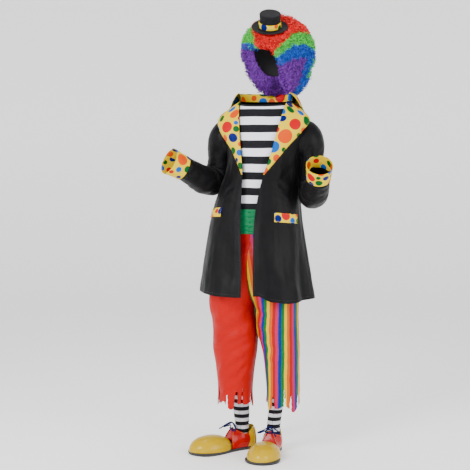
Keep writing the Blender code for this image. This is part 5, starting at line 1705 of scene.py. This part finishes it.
# %% Shoe surfaces
SOLE_THICKNESS, SHOE_WALL, TOE_CAP_START, TOE_HEIGHT, UPPER_FRONT = 0.013, 0.0020, 0.135, 0.060, 0.1335
HEEL_HEIGHT, INSTEP_HEIGHT = 0.100, 0.090
SOLE_WIDTHS = {
    "height": [0.000, 0.050, 0.100, 0.140, 0.190, 0.235, 0.285, 0.320],
    "half_width": [0.033, 0.036, 0.040, 0.050, 0.066, 0.073, 0.071, 0.064],
}
Shoe = namedtuple("Shoe", "heel toe lace_side")
SHOES = {
    "right": Shoe(np.array([-0.060, 0.117, 0]), np.array([-0.290, -0.101, 0]), -1),
    "left": Shoe(np.array([0.034, 0.120, 0]), np.array([0.036, -0.194, 0]), 1),
}


def shoe_place(shoe, along, lateral, height):
    heading = unit(shoe.toe - shoe.heel)
    left = np.array([-heading[1], heading[0], 0])
    along, lateral, height = np.broadcast_arrays(along, lateral, height)
    up = np.array([0, 0, 1.0])
    return shoe.heel + heading * along[..., None] + left * lateral[..., None] + up * height[..., None]


def sole_half_width(along, length):
    heel, toe = np.minimum(1, along / 0.034), np.minimum(1, (length - along) / 0.070)
    width = column(SOLE_WIDTHS, "half_width", along)
    return width * np.sqrt(np.maximum(0, 1 - (1 - heel) ** 2)) * np.sqrt(np.maximum(0, 1 - (1 - toe) ** 2))


def loft(rings, cap=True):
    """Vertices and faces through rings of points, with the ends filled."""
    rows, around = rings.shape[:2]
    faces = []
    for r in range(rows - 1):
        for m in range(around):
            n = (m + 1) % around
            faces.append((r * around + m, r * around + n, (r + 1) * around + n, (r + 1) * around + m))
    if cap:
        faces.append(tuple(range(around))[::-1])
        faces.append(tuple(range((rows - 1) * around, rows * around)))
    return rings.reshape(-1, 3) + np.array([0, 0, FLOOR]), faces


def sole_mesh(shoe):
    length = np.linalg.norm(shoe.toe - shoe.heel)
    steps = 60
    k = np.arange(2 * steps)
    along = length * (0.5 - 0.5 * np.cos(math.pi * k / steps))
    side = np.where(k < steps, 1, -1)
    rows = [(0.0, 0.955), (0.0004, 0.966), (0.0020, 0.984), (0.0045, 0.992), (0.0055, 0.985), (0.0065, 0.994), (0.0100, 1.0), (0.0122, 0.997), (0.0129, 0.985)]
    rings = []
    for height, scale in rows:
        lateral = side * sole_half_width(along, length) * scale
        rings.append(shoe_place(shoe, length / 2 + (along - length / 2) * scale, lateral, height))
    return small_mesh("sole", *loft(np.stack(rings)))


def toe_mesh(shoe):
    length = np.linalg.norm(shoe.toe - shoe.heel)
    middle = length - 0.098 - 0.002
    heading = unit(shoe.toe - shoe.heel)
    rings = []
    for k in range(25):
        lift = math.radians(88.5 * k / 24)
        spread = math.cos(lift) ** 0.8
        turn = np.linspace(0, 2 * math.pi, 96, endpoint=False)
        height = SOLE_THICKNESS + SEAM + TOE_HEIGHT * math.sin(lift)
        soft = 0.0007 * wander(turn * 1.5, np.full(96, k * 0.3), 3) * (k > 0)
        rings.append(shoe_place(shoe, middle + 0.098 * spread * np.cos(turn), 0.070 * spread * np.sin(turn), height + soft))
    mesh = small_mesh("toe", *loft(np.stack(rings)))
    bm = bmesh.new()
    bm.from_mesh(mesh)
    start = shoe_place(shoe, TOE_CAP_START, 0.0, 0.0) + np.array([0, 0, FLOOR])
    everything = bm.verts[:] + bm.edges[:] + bm.faces[:]
    made = bmesh.ops.bisect_plane(bm, geom=everything, plane_co=Vector(start), plane_no=Vector(heading), clear_inner=True)
    rim = [item for item in made["geom_cut"] if isinstance(item, bmesh.types.BMEdge)]
    bmesh.ops.holes_fill(bm, edges=rim)
    bmesh.ops.recalc_face_normals(bm, faces=bm.faces)
    bm.to_mesh(mesh)
    bm.free()
    mesh.shade_smooth()
    mesh.set_sharp_from_angle(angle=math.radians(50))
    return mesh


def shoe_upper(shoe):
    length = np.linalg.norm(shoe.toe - shoe.heel)

    def surface(u, v):
        swing = 1 - np.sin(math.pi * u)
        side = np.where(u < 0.5, 1, -1)
        low_along = 0.002 + (UPPER_FRONT - 0.002) * swing
        low_lateral = side * sole_half_width(low_along, length) * 0.96
        high_along = 0.012 + 0.104 * swing
        narrowing = mix(0.040, 0.013, ease((high_along - 0.066) / 0.050))
        high_lateral = side * narrowing * np.abs(np.cos(math.pi * u)) ** 0.7
        dip = 0.022 * np.sin(math.pi * np.minimum(1.0, swing * 1.05)) ** 2
        high = mix(HEEL_HEIGHT, INSTEP_HEIGHT, swing) - dip
        low = shoe_place(shoe, low_along, low_lateral, SOLE_THICKNESS + 0.0008)
        top = shoe_place(shoe, high_along, high_lateral, high)
        away = low - shoe_place(shoe, 0.065, 0.0, 0.0)
        away[..., 2] = 0
        away = unit(away)
        bulge = 0.007 * np.sin(math.pi * v) * np.minimum(1.0, 3 * swing + 0.5)
        bulge = bulge + 0.0010 * np.exp(-(((v - 0.975) / 0.02) ** 2))
        return mix(low, top, v[..., None]) + away * bulge[..., None]

    return surface


def heel_counter(shoe):
    upper = shoe_upper(shoe)

    def surface(u, v):
        u, v = mix(0.365, 0.635, u), mix(0.03, 0.86, v)
        points = upper(u, v)
        normals = unit(np.cross(np.gradient(points, axis=1), np.gradient(points, axis=0)))
        rounded = 0.0004 * np.exp(-((np.minimum(np.minimum(u - 0.365, 0.635 - u) * 6, 0.86 - v) / 0.03) ** 2))
        return points + normals * (0.0011 + SHOE_WALL - rounded)[..., None]

    return surface


def tongue(shoe):
    upper = shoe_upper(shoe)
    heading = unit(shoe.toe - shoe.heel)

    def surface(u, v):
        across, v = 2 * u - 1, mix(0.45, 1.12, v)
        left, right = upper(np.zeros_like(v), v), upper(np.ones_like(v), v)
        half = (left - right) / 2
        narrower = 1 - 0.0028 / np.linalg.norm(half, axis=-1)
        set_back = 0.0015 * (1 - across**2) - 0.0030
        return (left + right) / 2 + half * (across * narrower)[..., None] + heading * set_back[..., None]

    return surface


LACE_ROUTE = [
    (0.1176, 0.0150, 0.0924), (0.1174, 0.0000, 0.0928), (0.1150, -0.0155, 0.0924), (0.1090, -0.0200, 0.0945),
    (0.1040, -0.0120, 0.1060), (0.1080, 0.0080, 0.1160), (0.1120, 0.0240, 0.1080), (0.1220, 0.0440, 0.0980),
    (0.1330, 0.0380, 0.0940), (0.1260, 0.0130, 0.1030), (0.1200, 0.0000, 0.1080), (0.1260, -0.0130, 0.1040),
    (0.1350, -0.0380, 0.0950), (0.1230, -0.0500, 0.0930), (0.1130, -0.0260, 0.1030), (0.1150, 0.0000, 0.1200),
    (0.1300, 0.0140, 0.1120), (0.1480, 0.0280, 0.0960), (0.1560, 0.0370, 0.0880),
]


def lace_line(shoe):
    knots = [shoe_place(shoe, a, b * shoe.lace_side, h) for a, b, h in LACE_ROUTE]
    knots = np.array(knots)
    padded = np.vstack([2 * knots[0] - knots[1], knots, 2 * knots[-1] - knots[-2]])
    line = []
    for k in range(1, len(padded) - 2):
        p0, p1, p2, p3 = padded[k - 1 : k + 3]
        for t in np.linspace(0, 1, 12, endpoint=False):
            line.append(0.5 * (2 * p1 + (p2 - p0) * t + (2 * p0 - 5 * p1 + 4 * p2 - p3) * t**2 + (p1 * 3 - p0 - 3 * p2 + p3) * t**3))
    line.append(knots[-1])
    return np.array(line) + np.array([0, 0, FLOOR])


for word, shoe in SHOES.items():
    keep(f"shoe_sole_{word}", sole_mesh(shoe), f"shoe_sole_{word}")
    dress(f"shoe_sole_{word}", rubber.material)
    PIECES[f"shoe_sole_{word}"].data.set_sharp_from_angle(angle=math.radians(50))
    keep(f"shoe_toe_{word}", toe_mesh(shoe), f"shoe_toe_{word}")
    dress(f"shoe_toe_{word}", toe_yellow)
    cloth(f"shoe_upper_{word}", shoe_upper(shoe), 120, 28, SHOE_WALL)
    dress(f"shoe_upper_{word}", upper_red)
    cloth(f"shoe_heel_{word}", heel_counter(shoe), 40, 24, SHOE_WALL)
    dress(f"shoe_heel_{word}", toe_yellow)
    cloth(f"shoe_tongue_{word}", tongue(shoe), 24, 24, SHOE_WALL)
    dress(f"shoe_tongue_{word}", shoe_red)
    line = lace_line(shoe)
    mesh = small_mesh("lace", *tube(line, np.full(len(line), 0.0027), 10))
    lace = keep(f"shoe_lace_{word}", mesh, f"shoe_lace_{word}")
    dress(f"shoe_lace_{word}", cord_blue.material)
    length = float(np.linalg.norm(np.diff(line, axis=0), axis=1).sum())
    print("lace", word, round(length, 3))

# %% [markdown]
# ## Stitches
# Every turned edge has a row of topstitching and every seam a row beside it. A stitch is one
# small capsule, laid along its row at even steps and sunk half into the cloth.

# %% Stitches
ROWS = []


def stitch_row(surface, start, end, step=0.0045, shape=400):
    """Stitches on a surface from one (u, v) to another."""
    t = np.linspace(0, 1, shape)
    u, v = mix(start[0], end[0], t)[None], mix(start[1], end[1], t)[None]
    small = 0.002
    line = surface(u, v)[0]
    around = (surface(u + small, v) - surface(u - small, v))[0]
    up = (surface(u, v + small) - surface(u, v - small))[0]
    normal = unit(np.cross(around, up))
    run = np.concatenate([[0], np.cumsum(np.linalg.norm(np.diff(line, axis=0), axis=1))])
    at = np.arange(step, run[-1] - step, step)
    points = np.stack([np.interp(at, run, line[:, k]) for k in range(3)], axis=1)
    outward = np.stack([np.interp(at, run, normal[:, k]) for k in range(3)], axis=1)
    ahead = unit(np.stack([np.interp(at + 0.001, run, line[:, k]) for k in range(3)], axis=1) - points)
    return points + outward * 0.00018 + np.array([0, 0, FLOOR]), ahead


def stitched(name, rows, material, clear=None):
    points = np.vstack([r[0] for r in rows])
    ahead = np.vstack([r[1] for r in rows])
    if clear is not None:
        kept = clear(points - np.array([0, 0, FLOOR]))
        points, ahead = points[kept], ahead[kept]
    shape = np.array([(0, 0, z) for z in (-0.0016, -0.0008, 0.0008, 0.0016)])
    stitch = small_mesh("stitch_" + name, *tube(shape, [0.00018, 0.00034, 0.00034, 0.00018], 4))
    count = len(points)
    scattered(name, points, ahead, np.ones((count, 3)), np.zeros(count, int), [stitch], material)
    print(name, count, "stitches")


pale = Paint("yellow_thread", 0.6)
pale.colour((0.62, 0.50, 0.02))
red_thread = Paint("red_thread", 0.6)
red_thread.colour((0.45, 0.02, 0.02))
trim_rows, coat_rows, trouser_rows = [], [], []
for word, (arm, side) in arms.items():
    edge = 0.955 if side > 0 else 0.045
    near = 0.06 if side > 0 else 0.94
    trim_rows.append(stitch_row(lapel(side), (edge, 0.02), (edge, 0.98)))
    trim_rows.append(stitch_row(lapel(side), (near, 0.978), (edge, 0.978)))
    flap = pocket_flap(side)
    for start, end in (((0.03, 0.08), (0.97, 0.08)), ((0.03, 0.08), (0.03, 0.95)), ((0.97, 0.08), (0.97, 0.95)), ((0.03, 0.95), (0.97, 0.95))):
        trim_rows.append(stitch_row(flap, start, end))
    trim_rows.append(stitch_row(cuff(arm), (0.0, 0.93), (1.0, 0.93)))
    trim_rows.append(stitch_row(cuff(arm), (0.0, 0.06), (1.0, 0.06)))
    front = coat_front(side)
    rim = 0.02 if side > 0 else 0.98
    seam_side = 0.985 if side > 0 else 0.015
    coat_rows.append(stitch_row(front, (0.02, 0.014), (0.98, 0.014), shape=900))
    coat_rows.append(stitch_row(front, (rim, 0.014), (rim, 0.40), shape=900))
    coat_rows.append(stitch_row(front, (seam_side, 0.014), (seam_side, 0.72), shape=900))
    for name in (True, False):
        leg = leg_plain(side, name)
        for u in (0.02, 0.98):
            trouser_rows.append(stitch_row(leg, (u, 0.14), (u, 0.90), shape=600))
coat_rows.append(stitch_row(coat_back, (0.01, 0.014), (0.99, 0.014), shape=900))
for u in (0.010, 0.990, 0.488, 0.512):
    coat_rows.append(stitch_row(coat_back, (u, 0.014), (u, 0.72 if u < 0.4 or u > 0.6 else 0.97), shape=900))
trim_rows.append(stitch_row(collar, (0.01, 0.955), (0.99, 0.955), shape=900))
stitched("trim_stitches", trim_rows, pale.material)
stitched("coat_stitches", coat_rows, thread.material)
stitched("trouser_stitches", trouser_rows, red_thread.material)
shoe_rows = []
for word, shoe in SHOES.items():
    shoe_rows.append(stitch_row(shoe_upper(shoe), (0.03, 0.945), (0.97, 0.945), 0.004))
    for u in (0.012, 0.988):
        shoe_rows.append(stitch_row(shoe_upper(shoe), (u, 0.06), (u, 0.94), 0.004))
stitched("shoe_stitches", shoe_rows, pale.material)

# %% [markdown]
# ## Sheets of cloth
# The flat size each cloth piece was cut to is printed, worked out from the rows and columns
# of its own surface.

# %% Sheets
HELD = {
    "coat": ("hung", ["shirt_front_looks"]),
    "sleeve": ("hung", ["coat_back_looks"]),
    "lapel": ("folded", ["coat_back_looks"]),
    "collar": ("folded", ["coat_back_looks"]),
    "pocket": ("laid", ["coat_back_looks"]),
    "cuff": ("folded", ["coat_back_looks"]),
    "shirt": ("hung", ["coat_back_looks"]),
    "waist": ("gathered", ["trouser_back_right_looks"]),
    "trouser": ("hung", ["waist_sash_looks"]),
    "sock": ("stretched", ["shoe_sole_right_looks"]),
}
for name, (wide, long, area) in FLAT.items():
    kind = name.split("_")[0]
    if kind in HELD and name != "shirt_neckband":
        held, rests = HELD[kind]
        rests = [r.replace("right", "left") if name.endswith("left") else r for r in rests]
        share = area / (wide * long)
        print(f"{name}: {wide * 1000:.0f} x {long * 1000:.0f} mm, {area * 1e4:.0f} cm2, {share:.2f} of the rectangle")


# %% [markdown]
# ## Stage, camera and light
# The camera stands where the photo was taken: 5 m away and 1.3 m high, 16 degrees to the
# wearer's left. The floor and backdrop are plain and pale, under large soft lights.

# %% Stage
def stage():
    """A round floor that curves up into a low wall, so every side has the same pale backdrop."""
    reach, bend, top = 8.5, 1.5, 5.5
    rows = [(0.0, 0.0), (4.0, 0.0), (reach - bend, 0.0)]
    rows += [(reach - bend + bend * math.sin(t), bend - bend * math.cos(t)) for t in np.linspace(0.1, math.pi / 2, 12)]
    rows.append((reach, top))
    around = 96
    turns = np.linspace(0, 2 * math.pi, around, endpoint=False)
    verts = [(r * math.cos(t), r * math.sin(t), h + FLOOR) for r, h in rows[1:] for t in turns] + [(0, 0, FLOOR)]
    faces = [(len(verts) - 1, m, (m + 1) % around) for m in range(around)]
    for k in range(len(rows) - 2):
        for m in range(around):
            n = (m + 1) % around
            faces.append((k * around + m, (k + 1) * around + m, (k + 1) * around + n, k * around + n))
    mesh = bpy.data.meshes.new("backdrop")
    mesh.from_pydata(verts, [], faces)
    mesh.shade_smooth()
    obj = bpy.data.objects.new("backdrop", mesh)
    bpy.context.scene.collection.objects.link(obj)
    paint = Paint("backdrop_paper", 0.95, Specular_IOR_Level=0.0)
    paint.colour((0.95, 0.95, 0.95))
    paint.shader.inputs["Emission Color"].default_value = (1, 1, 1, 1)
    paint.shader.inputs["Emission Strength"].default_value = 0.40
    mesh.materials.append(paint.material)


def lamp(name, place, aim, size, energy):
    light = bpy.data.lights.new(name, "AREA")
    light.shape, light.size, light.energy = "DISK", size, energy
    obj = bpy.data.objects.new(name, light)
    obj.location = place
    obj.rotation_euler = (Vector(aim) - Vector(place)).to_track_quat("-Z", "Y").to_euler()
    bpy.context.scene.collection.objects.link(obj)


stage()
azimuth = math.radians(16)
right = Vector((math.cos(azimuth), math.sin(azimuth), 0))
toward = Vector((math.sin(azimuth), -math.cos(azimuth), 0))
camera = bpy.data.objects.new("camera", bpy.data.cameras.new("camera"))
bpy.context.scene.collection.objects.link(camera)
bpy.context.scene.camera = camera
aim = Vector((0, 0, 0.937 + FLOOR)) - right * 0.113
camera.location = toward * 5.0 + Vector((0, 0, 1.3 + FLOOR)) - right * 0.113
camera.rotation_euler = (aim - camera.location).to_track_quat("-Z", "Y").to_euler()
camera.data.sensor_width = 36
camera.data.lens = 1190 / 470 * 36
lamp("key", toward * 3.2 - right * 2.4 + Vector((0, 0, 1.3)), (0, 0, -0.5), 2.0, 190)
lamp("fill", toward * 3.0 + right * 2.8 + Vector((0, 0, 0.6)), (0, 0, -0.6), 2.6, 95)
lamp("top", Vector((0, 0.4, 2.6)), (0, 0, -0.6), 2.4, 70)
world = bpy.data.worlds.new("studio")
bpy.context.scene.world = world
world.use_nodes = True
world.node_tree.nodes["Background"].inputs[0].default_value = (1, 1, 1, 1)
world.node_tree.nodes["Background"].inputs[1].default_value = 0.50
print("camera", tuple(round(c, 3) for c in camera.location))
